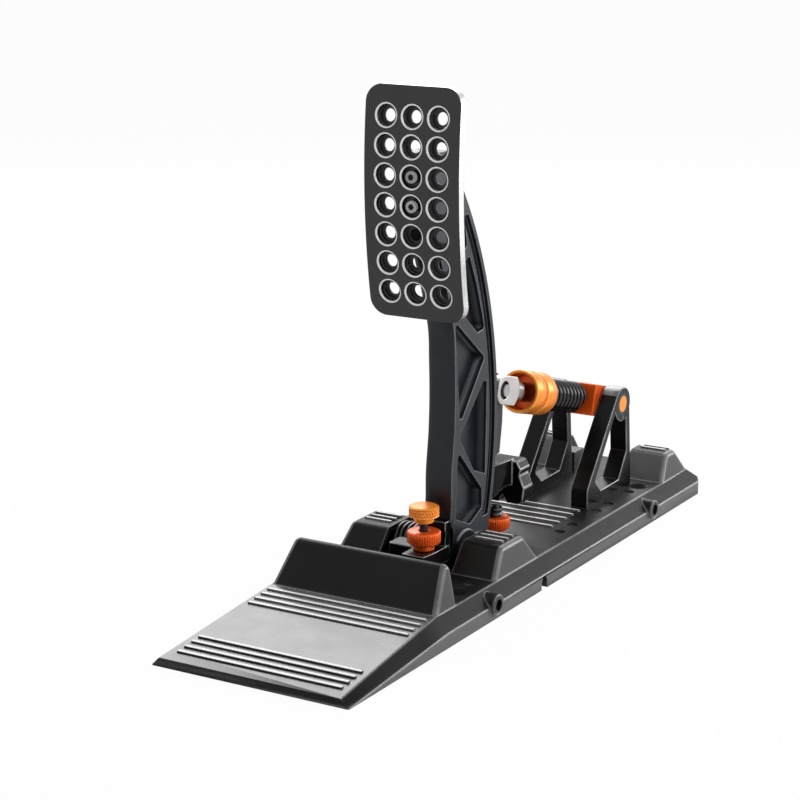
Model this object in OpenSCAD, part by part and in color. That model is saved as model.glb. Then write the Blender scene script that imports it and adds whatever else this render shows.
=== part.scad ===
// Throttle pedal module for a racing simulator: moulded base, swinging arm with a drilled plate,
// and a coil spring unit between the arm and two A-frames. Millimetres, +Z up, the driver sits at -Y.
// The origin is the middle of the base's underside. Drawn from the base's front edge
// and moved there at the end.

/* [Base] */
// Length of the base tray
base_l = 437; // [425:1:520]
// Width of the base tray
base_w = 120; // [118:1:150]
// Height of the deck above the floor
deck_h = 16; // [15:0.5:18]
// Height of the upright part of the skirt
skirt_h = 8; // [6:0.5:10]
// Thickness of the deck over the hollow underside
wall_t = 3.2; // [2.4:0.2:4]
// Thickness of the ribs under the deck
rib_t = 3; // [2:0.2:4]
// Length of the sloping foot plate
foot_l = 100; // [80:1:104]
// Height of the lip at the front edge
lip_h = 4.9; // [4:0.1:7]
// Radius of the rear corners in plan
corner_r = 8; // [4:0.5:12]
// Draft of the raised parts' end faces, sideways per height
draft = 0.195; // [0.05:0.005:0.3]

/* [Heel stop] */
// Length of the heel stop at the deck
heel_l = 22.8; // [18:0.2:26]
// Height of the heel stop above the deck
heel_h = 22.6; // [16:0.2:28]
// Radius of its top edge
heel_r = 4; // [2:0.2:6]

/* [Humps] */
// Height of the humps above the deck
hump_h = 15.6; // [14:0.2:20]
// Length of a front hump at the deck
hump_l = 52; // [46:0.5:56]
// Length of a rear hump at the deck
rear_hump_l = 39; // [34:0.5:44]
// Run of a hump's sloping faces
hump_run = 13; // [9:0.5:15]
// Radius of a hump's top edges
hump_r = 5; // [2:0.5:7]
// Distance from the middle plane to the humps' inner ends
hump_in = 24; // [23:0.5:26]
// Depth of the recess in a front hump's inner end
recess_d = 4; // [3:0.5:6]

/* [Raised ribs] */
// Width of a raised tread rib
tread_w = 2.2; // [1.5:0.1:3]
// Height of a raised tread rib
tread_h = 0.9; // [0.5:0.1:1.2]
// Ribs in each of the two groups on the foot plate
foot_treads = 4; // [2:1:5]
// Spacing of the foot plate ribs
foot_pitch = 6.3; // [5:0.1:7]
// Ribs across the deck behind the arm
deck_treads = 5; // [3:1:5]
// Spacing of the deck ribs
deck_pitch = 9.1; // [7:0.1:9.5]

/* [Mounting holes] */
// Distance from the middle plane to the rows of holes
hole_x = 42; // [40:0.5:44]
// Diameter of the mounting holes
hole_d = 6.6; // [5.5:0.1:7]
// Diameter of the counterbores
bore_d = 11.5; // [10.5:0.1:13]
// Depth of the counterbores
bore_h = 6; // [4:0.5:8]
// Front pair of counterbored holes from the front edge
mount_front = 140; // [134:1:146]
// Spacing of the counterbored pairs along the base
mount_pitch = 236; // [230:1:238]
// Diameter of the side bosses
boss_d = 12; // [11:0.5:13]
// How far the side bosses stand out of the skirt
boss_out = 2; // [1:0.5:4]
// Height of the side bosses' holes
boss_z = 8.5; // [7:0.1:9]
// Diameter of the threaded holes in the side inserts
insert_hole_d = 6.8; // [5:0.1:7]
// Outer diameter of the side inserts
insert_d = 9; // [8:0.1:10]
// Length of the side inserts
insert_l = 12; // [8:0.5:16]
// Length of the side bosses, drilled right through into the bays
boss_l = 15; // [12:0.5:18]

/* [Pivot] */
// Distance of the pivot axle in front of the base's middle
pivot_y = 26.5; // [20:0.5:30]
// Height of the pivot axle
pivot_z = 19; // [18:0.5:20]
// Diameter of the pivot axle
axle_d = 12; // [10:0.5:13]
// Length of the pivot axle
axle_l = 80; // [77:1:84]
// Width of each axle seat in the humps
seat_w = 12; // [10:0.5:13]
// Wall of the bushes in the arm's hub
bush_t = 2; // [1.5:0.1:2.5]
// Radial clearance of parts that turn or slide on each other
run_gap = 0.05; // [0.02:0.01:0.08]
// Gap between neighbouring parts that move past each other
side_gap = 0.5; // [0.35:0.05:0.8]
// Gap between parts that are fastened together
seat_gap = 0.02; // [0.01:0.01:0.05]
// Radial clearance of screws in the holes that they pass through
screw_gap = 0.2; // [0.1:0.05:0.3]

/* [Arm] */
// Offset of the arm's plane to the right of the base's middle
arm_x = 10; // [9:0.5:10.5]
// Width of the arm
arm_w = 17; // [15:0.5:18]
// Thickness of the arm's web between the side pockets
web_t = 5; // [3.5:0.5:7]
// Radius of the rear edge's curve
arm_r = 237.6; // [210:0.2:270]
// Distance of the rear edge behind the pivot axle where it bulges most
arm_back = 37.1; // [36:0.1:38]
// Height at which the rear edge bulges most
arm_bulge_z = 93.2; // [88:0.2:98]
// Radius of the hub round the axle
hub_r = 14.5; // [13:0.5:15]
// Height of the top of the arm
arm_top = 252; // [248:0.5:256]
// Thickness of the lug that the spring unit hangs on
lug_t = 6; // [5:0.2:7]
// Radius of the lug round its pin
lug_r = 8; // [7.5:0.1:8.4]

/* [Pedal plate] */
// Width of the plate
plate_w = 58; // [54:0.5:70]
// Height of the plate
plate_l = 126; // [122:0.5:140]
// Thickness of the plate
plate_t = 6; // [4:0.2:7]
// Radius of the plate's curve
plate_r = 390; // [340:5:500]
// Radius of the plate's corners
plate_corner = 9.5; // [5:0.5:12]
// Height of the middle of the plate
plate_z = 225; // [222:0.5:228]
// Distance of the plate's face in front of the pivot axle where it is nearest the driver
plate_y = 47.9; // [46:0.1:50]
// Spacing of the plate's holes
grip_pitch = 15.9; // [15:0.1:16.5]
// Diameter of the counterbores in the plate's holes
grip_d = 11; // [9:0.1:12]
// Diameter of the plate's holes behind their counterbores
through_d = 7; // [6:0.1:8]
// Diameter of the countersink round each hole
ring_d = 13.6; // [12.5:0.1:14.2]

/* [Adjusters] */
// Diameter of the adjusters' threaded studs
stud_d = 5; // [4:0.5:6]
// Distance of the front adjuster in front of the pivot axle
front_y = 32; // [30:0.5:34]
// Distance of the rear stop behind the pivot axle
rear_y = 50.7; // [50:0.1:52]
// Diameter of the knurled lock nuts
nut_d = 19; // [16:0.2:19.4]
// Height of the knurled part of the lock nuts
nut_h = 7.2; // [6:0.2:8]
// Diameter of the lock nuts' collar
collar_d = 12; // [10:0.2:14]
// Height of the lock nuts' collar
collar_h = 3.6; // [2:0.2:4]
// Flutes round a lock nut
nut_flutes = 40; // [24:2:48]
// Diameter of the thumb knob
knob_d = 17; // [14:0.2:19]
// Height of the thumb knob's head
knob_h = 6.4; // [4:0.2:7]
// Diameter of the rubber stop pad
pad_d = 10.2; // [8:0.2:11]
// Height of the rubber stop pad
pad_h = 5.5; // [4:0.1:5.8]
// Height of the toe plate's top face
toe_top = 29.5; // [28.5:0.1:30]
// Thickness of the toe plate
toe_t = 9; // [7:0.2:10]

/* [Spring unit] */
// Distance of the clevis pin behind the pivot axle
clevis_y = 46.6; // [46:0.1:48]
// Height of the clevis pin
clevis_z = 104.9; // [103:0.1:107]
// Distance of the trunnion pins from the base's rear end
trunnion_y = 74.6; // [70:0.1:90]
// Height of the trunnion pins
trunnion_z = 72; // [70:0.5:75]
// Diameter of the trunnion pins
pin_d = 10; // [8:0.5:11]
// Diameter of the sliding rod
rod_d = 12; // [10:0.5:13]
// Diameter of the clevis bolt
bolt_d = 6; // [5:0.5:6.5]
// Radial play of the clevis bolt in the arm's lug
bolt_play = 0.9; // [0.85:0.05:1.2]
// Width of the clevis
clevis_w = 17; // [15:0.5:18]
// Height of the clevis
clevis_h = 17; // [16:0.5:18]
// Diameter of the clevis's turned neck
neck_d = 15.4; // [14:0.2:16]
// Length of the clevis's turned neck
neck_l = 8.4; // [6:0.2:10]
// Diameter of the preload rings
ring_od = 26; // [23:0.5:28]
// Length of each preload ring
ring_l = 12.8; // [10:0.2:13]
// Distance from the clevis pin to the preload cup's rim
cup_at = 34.5; // [33:0.5:36]
// Outer diameter of the main spring
spring_d = 20; // [18.5:0.2:21]
// Wire diameter of the main spring
wire_d = 2.5; // [1.8:0.1:2.8]
// Turns of the main spring
spring_turns = 9; // [6:1:10]
// Height of the trunnion block
block_h = 19.6; // [18:0.2:22]
// Length of the trunnion block in front of its pins
block_front = 17.4; // [13:0.2:19]
// Length of the trunnion block behind its pins
block_rear = 10; // [8:0.5:12]
// Gap between the two A-frames
frame_gap = 29.6; // [27:0.2:32]
// Thickness of an A-frame
frame_t = 11.4; // [9:0.2:12]
// Thickness of an A-frame's slanted front leg
leg_t = 4.2; // [3.4:0.2:5]
// Radius of an A-frame's head
head_r = 10.5; // [9.5:0.1:11]

/* [Return spring] */
// Wire diameter of the return spring
return_wire = 2.4; // [1.6:0.1:2.6]
// Mean radius of the return spring
return_r = 12.2; // [12:0.1:12.4]
// Whole turns of the return spring
return_turns = 6; // [4:1:6]
// Spacing of the return spring's turns
return_pitch = 3.1; // [3.05:0.01:3.15]

/* [Motion] */
// Swing of the pedal at which the stop block meets the rear stop
travel = 12; // [8:0.5:12]

/* [Hidden] */
$fn = 72;

over = 1;
pivot_at = base_l / 2 - pivot_y;
front_at = pivot_at - front_y;
rear_at = pivot_at + rear_y;
clevis_at = pivot_at + clevis_y;
trunnion_at = base_l - trunnion_y;
slope = deck_h - skirt_h;
foot_a = atan((deck_h - lip_h) / foot_l);
side_x = base_w / 2 - slope;
hump_top = deck_h + hump_h;
rear_hump_y = base_l - slope - rear_hump_l / 2;
rear_hump_front = rear_hump_y - rear_hump_l / 2;
mount_rear = mount_front + mount_pitch;
boss_y = [mount_front + 12, mount_rear - 18];
boss_end = base_w / 2 + boss_out;
deck_tread_w = 67.6;
hump_tread = [27.5, 45];
foot_tread_w = 100;

trough_y = [pivot_at - 20, pivot_at + 36];
trough_floor = 3;
peg = [3.8, 3.4, 10];
seat_x = [hump_in + recess_d, hump_in + recess_d + seat_w];
cap_flange = [28, 3];
cap_screw_y = 10;
hub_w = arm_w + 2;
bush_od = axle_d + 2 * bush_t;
flange_t = 1.5;
sleeve_d = axle_d + 5;

nut_z = toe_top + 0.2;
stud_tip = deck_h + 0.3;
stud_top = 52;
knob_z = nut_z + collar_h + nut_h + 5;
rear_nut_z = deck_h + 0.2;
pad_z = rear_nut_z + collar_h + nut_h + 0.4;
pad_top = pad_z + pad_h;
stop_gap = 0.3;

arm_c = [pivot_at + arm_back - arm_r, arm_bulge_z];
plate_bulge = 16;
plate_c = [pivot_at - plate_y + plate_r, plate_z + plate_bulge];
plate_back = plate_r - plate_t;
plate_screw = 4;
block_y = [pivot_at + 61, pivot_at + 73];
block_mid = 14;

strut = [trunnion_at - clevis_at, trunnion_z - clevis_z];
strut_l = norm(strut);
strut_a = atan2(-strut[1], strut[0]);
fork_end = 19;
fork_r = 7;
slot_end = 12.8;
rod_start = slot_end + 1;
ring_at = cup_at + ring_l + 2;
spring_at = ring_at + ring_l;
spring_l = strut_l - block_front - spring_at;
guide_od = rod_d + 3;
bush2_od = pin_d + 3.4;
frame_in = frame_gap / 2;
frame_mid = frame_in + frame_t / 2;
frame_foot = [trunnion_at - 48.2, trunnion_at + 14.4];
frame_bar = 7.5;
frame_screw_y = [frame_foot[0] + 6, frame_foot[1] - 7];
deck_tread_run = 43.2;
deck_tread_y = frame_foot[0] - deck_tread_run;
deck_holes = [pivot_at + 74, pivot_at + 90.5, pivot_at + 123, pivot_at + 140];
bay_ribs = [frame_foot[0] - 2.2, frame_foot[1] + 6.2];
heel_gap = 5.2;

// Unit vector
function unit(v) = v / norm(v);
// Points of a fillet of radius r at corner b between a and c
function corner(a, b, c, r, n = 5) =
  let (u = unit(a - b), v = unit(c - b), h = acos(u * v) / 2, m = b + unit(u + v) * r / sin(h),
    s = b + u * r / tan(h) - m, e = b + v * r / tan(h) - m)
  [for (i = [0 : n]) m + r * unit(s * (1 - i / n) + e * i / n)];
// A closed outline with every corner rounded
function rounded(p, r) = let (k = len(p))
  [for (i = [0 : k - 1]) each corner(p[(i + k - 1) % k], p[i], p[(i + 1) % k], r)];
// Smooth curve through points, n steps between neighbours
function curve(p, n = 6) = let (k = len(p) - 1)
  [for (i = [0 : k - 1], j = [0 : n - 1]) let (t = j / n, a = p[max(i - 1, 0)], b = p[i], c = p[i + 1],
    d = p[min(i + 2, k)])
    b + (c - a) * t / 2 + (2 * a - 5 * b + 4 * c - d) * t * t / 2 + (3 * b - a - 3 * c + d) * t * t * t / 2,
    p[k]];
// Half width of the drafted raised parts at height z
function side_at(z) = side_x - draft * (z - deck_h);
// Where the arm's rear edge lies at height z
function rear_edge(z) = arm_c[0] + sqrt(arm_r * arm_r - (z - arm_c[1]) * (z - arm_c[1]));
// Where the plate's face lies at height z
function plate_face(z) = plate_c[0] - sqrt(plate_r * plate_r - (z - plate_c[1]) * (z - plate_c[1]));
// A point that the pedal carries, turned back from full travel to rest
function at_rest(p) = let (d = p - [pivot_at, pivot_z])
  [pivot_at, pivot_z] + [d[0] * cos(travel) - d[1] * sin(travel), d[0] * sin(travel) + d[1] * cos(travel)];

// Centre line of a coil round Z with straight ends, 8 rings to a turn
function coil(r, pitch, turns, lead, tail) = let (n = round(turns * 8),
    c = [for (i = [0 : n]) [r * cos(i * 45), r * sin(i * 45), pitch * i / 8]],
    t0 = unit([0, r, pitch / (2 * PI)]), a = n * 45, t1 = unit([-r * sin(a), r * cos(a), pitch / (2 * PI)]))
  concat([c[0] - t0 * lead], c, [c[n] + t1 * tail]);
// Six-sided rings round a centre line whose axis is Z
function coil_rings(c, wire) = let (k = len(c) - 1)
  [for (i = [0 : k]) let (t = unit(c[min(i + 1, k)] - c[max(i - 1, 0)]),
      m = c[i == 0 ? 1 : i == k ? k - 1 : i], u = unit([m[0], m[1], 0] - t * ([m[0], m[1], 0] * t)),
      b = cross(t, u))
    for (j = [0 : 5]) c[i] + wire / 2 * (u * cos(j * 60) + b * sin(j * 60))];
// Least distance between turns of a coil, less the wire
function coil_gap(c, wire) = min([for (i = [0 : len(c) - 7], j = [i + 6 : len(c) - 1])
  norm(c[i] - c[j])]) - wire;
module tube(rings) {
  n = len(rings) / 6;
  polyhedron(rings, concat(
    [for (i = [0 : n - 2], j = [0 : 5]) let (a = i * 6 + j, b = i * 6 + (j + 1) % 6)
      each [[a, a + 6, b], [b, a + 6, b + 6]]],
    [for (j = [1 : 4]) [0, j, j + 1]],
    [for (j = [1 : 4]) let (e = (n - 1) * 6) [e, e + j + 1, e + j]]));
}

// Frames of reference and repeated shapes
module from_front() translate([0, -base_l / 2, 0]) children();
module in_arm() from_front() translate([arm_x, 0, 0]) children();
module on_pivot() from_front() translate([0, pivot_at, pivot_z]) children();
module on_strut(s = 0) in_arm() translate([0, clevis_at, clevis_z]) rotate([-90 - strut_a, 0, 0])
  translate([0, 0, s]) children();
module along_x(w) rotate([90, 0, 90]) linear_extrude(height = w, center = true) children();
module along_y(l) translate([0, l, 0]) rotate([90, 0, 0]) linear_extrude(height = l) children();
module both_sides() for (s = [0, 1]) mirror([s, 0, 0]) children();
module x_rod(d, l) rotate([0, 90, 0]) cylinder(d = d, h = l, center = true);
module x_tube(d, bore, x0, x1) translate([(x0 + x1) / 2, 0, 0]) difference() {
  x_rod(d, x1 - x0);
  x_rod(bore, x1 - x0 + over);
}
// Socket head screw along -Z with its head's underside at 0
module socket_screw(d, l) difference() {
  union() {
    cylinder(d = d * 1.6, h = d);
    translate([0, 0, -l]) cylinder(d = d, h = l + over / 2);
  }
  translate([0, 0, d / 2]) cylinder(d = d * 0.9, h = d, $fn = 6);
}
// Fluted rim of a lock nut
module fluted(d, h, n) linear_extrude(height = h)
  polygon([for (i = [0 : 2 * n - 1]) let (a = i * 180 / n) (d / 2 - (i % 2) * 0.5) * [cos(a), sin(a)]]);
module lock_nut() difference() {
  union() {
    cylinder(d = collar_d, h = collar_h + over);
    translate([0, 0, collar_h]) fluted(nut_d, nut_h, nut_flutes);
  }
  translate([0, 0, -over]) cylinder(d = stud_d + 2 * run_gap, h = collar_h + nut_h + 2 * over);
}

// Base tray
module base_slab() difference() {
  intersection() {
    along_y(base_l) polygon([[-base_w / 2, 0], [base_w / 2, 0], [base_w / 2, skirt_h], [side_x, deck_h],
      [-side_x, deck_h], [-base_w / 2, skirt_h]]);
    along_x(base_w) polygon([[0, 0], [base_l, 0], [base_l, skirt_h], [base_l - slope, deck_h],
      [foot_l, deck_h],
      [0, lip_h]]);
    linear_extrude(height = deck_h) {
      translate([-base_w / 2, 0]) square([base_w, base_l - corner_r]);
      translate([corner_r - base_w / 2, 0]) square([base_w - 2 * corner_r, base_l]);
      for (s = [-1, 1]) translate([s * (base_w / 2 - corner_r), base_l - corner_r]) circle(r = corner_r);
    }
  }
  both_sides() skirt_taper();
}
// The skirt's edge falls to the floor along the foot plate
module skirt_taper() {
  k = skirt_h / foot_l;
  translate([base_w / 2, 0, 0]) rotate(a = acos(1 / norm([1, -k, 1])), v = [k, 1, 0])
    translate([-base_l, -base_l, 0]) cube([2 * base_l, 2 * base_l, base_w / 2]);
}
module heel_profile() {
  a = [foot_l, deck_h];
  c = [foot_l + heel_l - heel_r, deck_h + heel_h - heel_r];
  lean = atan2(c[1] - a[1], c[0] - a[0]) + asin(heel_r / norm(c - a));
  polygon([a - [0, over], a, c + heel_r * [-sin(lean), cos(lean)],
    c, c + [heel_r, 0], [c[0] + heel_r, deck_h - over]]);
  translate(c) circle(r = heel_r);
}
module hump_profile(y, l, inset = 0) {
  b = [[y - l / 2 + inset, deck_h], [y - l / 2 + hump_run + inset / 2, hump_top - inset],
    [y + l / 2 - hump_run - inset / 2, hump_top - inset], [y + l / 2 - inset, deck_h]];
  polygon(concat([b[0] - [0, over], b[0]], corner(b[0], b[1], b[2], hump_r - inset / 2),
    corner(b[1], b[2], b[3], hump_r - inset / 2), [b[3], b[3] - [0, over]]));
}
module drafted(y, l, x0, top) intersection() {
  children();
  translate([0, y, 0]) along_y(l) polygon([[x0, deck_h - over], [side_at(deck_h - over), deck_h - over],
    [side_at(top), top], [x0, top]]);
}
module humps() both_sides() {
  drafted(0, base_l, hump_in, hump_top) translate([base_w / 4, 0, 0]) along_x(base_w / 2) {
    hump_profile(pivot_at, hump_l);
    hump_profile(rear_hump_y, rear_hump_l);
  }
  for (y = [pivot_at - 4, pivot_at + 2, pivot_at + 8, rear_hump_y + 1, rear_hump_y + 7])
    translate([hump_tread[0], y - tread_w / 2, hump_top - over])
      cube([hump_tread[1] - hump_tread[0], tread_w, tread_h + over]);
}
module heel_stop() both_sides() drafted(0, foot_l + heel_l + over, -over, deck_h + heel_h)
  along_x(base_w) heel_profile();
module treads() {
  for (i = [0 : deck_treads - 1]) translate([-deck_tread_w / 2, deck_tread_y + i * deck_pitch, deck_h - over])
    cube([deck_tread_w, tread_w, tread_h + over]);
  translate([0, 0, lip_h]) rotate([foot_a, 0, 0]) for (i = [0 : foot_treads - 1], y = [9, foot_l - 26])
    translate([-foot_tread_w / 2, y + i * foot_pitch, -over])
      cube([foot_tread_w, tread_w, tread_h + over]);
}
// Hollow underside: a sloping bay below the foot plate and a grid of bays below the deck
module bays() {
  edge = side_x - 2;
  mid = hump_in - 2;
  hollow = deck_h - wall_t;
  along_x(2 * edge) polygon([[12, -over], [12, lip_h - wall_t + 12 * tan(foot_a)],
    [foot_l - rib_t, hollow - 1],
    [foot_l - rib_t, -over]]);
  rows = concat([foot_l, foot_l + heel_l + heel_gap, trough_y[0] - rib_t, trough_y[1] + rib_t], bay_ribs,
    base_l - slope - rib_t);
  for (i = [0 : len(rows) - 2]) let (y0 = rows[i] + rib_t, y1 = rows[i + 1], hump_row = i == 2) {
    if (!hump_row) translate([-mid, y0, -over]) cube([2 * mid, y1 - y0, hollow + over]);
    both_sides() translate([hump_row ? seat_x[1] + rib_t : mid + rib_t, y0, -over])
      cube([edge - (hump_row ? seat_x[1] : mid) - rib_t, y1 - y0, hollow + over]);
  }
}
module trough() translate([-hump_in, trough_y[0], trough_floor])
  cube([2 * hump_in, trough_y[1] - trough_y[0], hump_top]);
// Seats of the axle, open below for the caps
module axle_seats() both_sides() {
  translate([(seat_x[0] + seat_x[1]) / 2, pivot_at, 0]) {
    translate([0, 0, pivot_z]) x_rod(axle_d + 2 * seat_gap, seat_w + over);
    translate([-seat_w / 2 - over / 2, -axle_d / 2 - seat_gap, -over])
      cube([seat_w + over, axle_d + 2 * seat_gap, pivot_z + over]);
    translate([-seat_w / 2 - over / 2, -cap_flange[0] / 2 - seat_gap, -over])
      cube([seat_w + over, cap_flange[0] + 2 * seat_gap, cap_flange[1] + 2 * over + seat_gap]);
    for (s = [-1, 1]) translate([0, s * cap_screw_y, 0]) cylinder(d = 3 + 2 * seat_gap, h = deck_h);
  }
  translate([hump_in, pivot_at, pivot_z]) x_rod(sleeve_d + 2 * side_gap, 2 * recess_d);
  intersection() {
    translate([hump_in, 0, 0]) along_x(2 * recess_d) hump_profile(pivot_at, hump_l, 3);
    translate([0, trough_y[0], 0]) cube([base_w, hump_l, hump_top]);
  }
}
module holes() {
  both_sides() for (y = [mount_front, mount_rear]) translate([hole_x, y, 0]) {
    translate([0, 0, -over]) cylinder(d = hole_d, h = deck_h + 2 * over);
    translate([0, 0, deck_h - bore_h]) cylinder(d = bore_d, h = bore_h + over);
  }
  both_sides() for (y = concat(mount_front + 15, deck_holes, mount_rear - 14))
    translate([hole_x, y, -over]) cylinder(d = hole_d, h = deck_h + 2 * over);
  both_sides() for (y = boss_y) translate([boss_end - boss_l / 2, y, boss_z])
    x_rod(insert_d + 2 * seat_gap, boss_l + 2 * over);
  translate([arm_x, rear_at, -over]) cylinder(d = stud_d + 2 * run_gap, h = deck_h + 2 * over);
  for (s = [-1, 1], y = frame_screw_y) translate([arm_x + s * frame_mid, y, -over])
    cylinder(d = 5 + 2 * seat_gap, h = deck_h + 2 * over);
  both_sides() translate([base_w / 2, pivot_at + 19, skirt_h / 2]) {
    x_rod(skirt_h - 1, 12);
    translate([-6, (1 - skirt_h) / 2, -skirt_h]) cube([12, skirt_h - 1, skirt_h]);
  }
  for (x = socket_pegs) translate([socket_at[0] + x, socket_at[1] + socket[1] / 2, 0])
    cylinder(d = 3 + 2 * seat_gap, h = deck_h + over);
}
module base_tray() color("#26272a") from_front() difference() {
  union() {
    difference() {
      union() {
        base_slab();
        heel_stop();
        humps();
        both_sides() for (y = boss_y) translate([boss_end - boss_l / 2, y, boss_z]) x_rod(boss_d, boss_l);
      }
      bays();
      trough();
    }
    treads();
    both_sides() for (y = [mount_front, mount_rear]) translate([hole_x, y, 0])
      cylinder(d = bore_d + 5, h = deck_h);
    translate([arm_x, rear_at, 0]) cylinder(d = stud_d + 8, h = deck_h);
    both_sides() for (y = boss_y) translate([boss_end - boss_l, y - boss_d / 2, 0])
      cube([boss_l - 3, boss_d, boss_z]);
    translate([-hump_in - over, pivot_at + return_r - return_wire / 2 - side_gap - peg[1], 0]) cube(peg);
  }
  axle_seats();
  holes();
}

// Axle and what sits on it
module pivot_axle() color("#9a9da2") on_pivot() x_rod(axle_d, axle_l);
module axle_caps() color("#26272a") from_front() both_sides()
  translate([(seat_x[0] + seat_x[1]) / 2, pivot_at, 0])
  difference() {
    union() {
      translate([-seat_w / 2, -axle_d / 2, over]) cube([seat_w, axle_d, pivot_z - over]);
      translate([-seat_w / 2, -cap_flange[0] / 2, over]) cube([seat_w, cap_flange[0], cap_flange[1]]);
    }
    translate([0, 0, pivot_z]) x_rod(axle_d + 2 * seat_gap, seat_w + over);
    for (s = [-1, 1]) translate([0, s * cap_screw_y, 0]) cylinder(d = 3 + 2 * seat_gap, h = deck_h);
  }
module cap_screws() color("#8c8f94") from_front() both_sides() for (s = [-1, 1])
  translate([(seat_x[0] + seat_x[1]) / 2, pivot_at + s * cap_screw_y, 0]) {
    cylinder(d = 3, h = 12);
    translate([0, 0, 0.1]) cylinder(d = 5.5, h = 0.9 - seat_gap);
  }
hub_right = arm_x + hub_w / 2 + flange_t;
hub_left = arm_x - hub_w / 2 - flange_t;
module axle_spacer() color("#9a9da2") on_pivot()
  x_tube(sleeve_d, axle_d + 2 * seat_gap, hub_right + side_gap, seat_x[0] - seat_gap);
module spring_mandrel() color("#303236") on_pivot()
  x_tube(sleeve_d, axle_d + 2 * seat_gap, -seat_x[0] + seat_gap, hub_left - side_gap);
return_line = coil(return_r, return_pitch, return_turns + 0.25, 9, 24);
echo(return_spring_gap = coil_gap(return_line, return_wire));
// The free leg leaves the top of the coil towards the driver, over the toe plate's wing
module return_spring() color("#1b1c1f") on_pivot()
  translate([hub_left - side_gap - 1.4 - return_pitch * (return_turns + 0.25), 0, 0]) rotate([90, 0, 90])
    tube(coil_rings(return_line, return_wire));
module side_inserts() color("#b9a061") from_front() both_sides() for (y = boss_y)
  translate([0, y, boss_z]) x_tube(insert_d, insert_hole_d, boss_end - insert_l, boss_end);

// A-frames
module frame_profile() difference() {
  t = [trunnion_at, trunnion_z];
  foot = [frame_foot[0], deck_h];
  knee = [frame_foot[0] + 1.2, deck_h + 13.5];
  lean = atan2(t[1] - knee[1], t[0] - knee[0]) + asin(head_r / norm(t - knee));
  top = t + head_r * [-sin(lean), cos(lean)];
  heel = [frame_foot[1], deck_h];
  in = leg_t * [sin(lean), -cos(lean)];
  union() {
    polygon([foot, heel, heel + [0, 6], t + [head_r - 0.6, -3], t, top, knee, knee - [1.2, 3]]);
    translate(t) circle(r = head_r);
  }
  difference() {
    polygon(rounded([knee + in + [6, 4] , top + in - 12 * [cos(lean), sin(lean)] * 0.4, t + [head_r - 6, -4],
      heel + [-7.2, 24], heel + [-18, frame_bar + 0.6], foot + [19, frame_bar]], 1.5));
    translate(t) circle(r = head_r + 0.5);
  }
  translate(t) circle(d = bush2_od + 2 * seat_gap);
}
module a_frame(side) from_front() difference() {
  translate([arm_x + side * frame_mid, 0, 0]) along_x(frame_t) frame_profile();
  for (y = frame_screw_y) translate([arm_x + side * frame_mid, y, deck_h - over])
    cylinder(d = 5 + 2 * seat_gap, h = frame_bar - 1);
}
module a_frame_right() color("#1f2022") a_frame(1);
module a_frame_left() color("#1f2022") a_frame(-1);
module a_frame_screws() color("#3a3c40") from_front() for (s = [-1, 1], y = frame_screw_y)
  translate([arm_x + s * frame_mid, y, deck_h - wall_t - seat_gap])
    mirror([0, 0, 1]) socket_screw(5, wall_t + 5);
module pin_bushes() color("#151618") in_arm() translate([0, trunnion_at, trunnion_z]) both_sides()
  x_tube(bush2_od, pin_d + 2 * run_gap, frame_in, frame_in + frame_t);

// Sensor and socket
board = [1.6, 20, 16];
module sensor_board() color("#1d5a36") on_pivot() difference() {
  translate([hump_in - board[0] - seat_gap, 9, -11]) cube(board);
  for (y = [12, 26]) translate([hump_in, y, -8]) x_rod(2.2, 4);
}
module sensor_magnet() color("#b0b3b8") in_arm() translate([0, pivot_at + 16, pivot_z - 3.5]) {
  x_rod(6, hub_w - 4);
}
socket = [13, 14, 12];
socket_ahead = 2;
socket_at = [-22, rear_hump_front - socket_ahead];
socket_pegs = [3, 10];
module cable_socket() color("#151618") from_front() translate([socket_at[0], socket_at[1], deck_h + seat_gap])
  difference() {
    union() {
      cube(socket);
      for (x = socket_pegs) translate([x, socket[1] / 2, -wall_t]) cylinder(d = 3, h = wall_t + over);
    }
    translate([1.5, -over, 1.8]) cube([10, 9 + over, 8]);
  }

// Pedal arm
// Points of the arm's side view, from the pivot axle along Y and from the floor along Z
arm_foot = pivot_at - 17;
arm_front = [[-17, 44], [-17.4, 68], [-14.6, 92], [-13.8, 112], [-14.4, 132], [-16, 152], [-25, 178],
  [-35, 202]];
arm_pockets = [
  [[-13.4, 156.6], [21.4, 129.6], [-6.8, 96.6]],
  [[20.2, 118.6], [21.6, 60.2], [9.6, 66.4], [-7.2, 88.8]],
  [[-8.8, 82], [-11.1, 42.6], [6, 35.4], [16.4, 43], [16.2, 53.5]],
  [[2.4, 191], [11.5, 172], [21, 146.5], [12.5, 145.6], [-10, 163], [-17, 180]],
  [[-26, 214], [-10, 226], [-4.6, 219], [-0.6, 196.5], [-21, 189]]];
function on_arm(p) = [for (q = p) [pivot_at + q[0], q[1]]];
rim = [2.8, 9.4, 2.4];
module arm_blank() difference() {
  intersection() {
    along_x(arm_w) polygon(concat([[arm_foot, 20]], curve(on_arm(arm_front)),
      [[plate_face(216) + plate_t, 216]],
      [for (z = [222 : 6 : arm_top]) [plate_face(z) + plate_t + seat_gap, z]],
      [[plate_face(arm_top) + plate_t + seat_gap, arm_top], [pivot_at + 60, arm_top],
        [pivot_at + 60, 24], [pivot_at, 20]]));
    translate(concat(0, arm_c)) x_rod(2 * arm_r, arm_w + over, $fn = 360);
  }
  translate([0, pivot_at + 11, pivot_z - 21.4]) x_rod(62, arm_w + over);
}
module pocket_cut(p) for (s = [-1, 1]) translate([s * (arm_w + web_t) / 4 + s * over / 2, 0, 0])
  along_x((arm_w - web_t) / 2 + over) polygon(rounded(p, 2));
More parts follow.
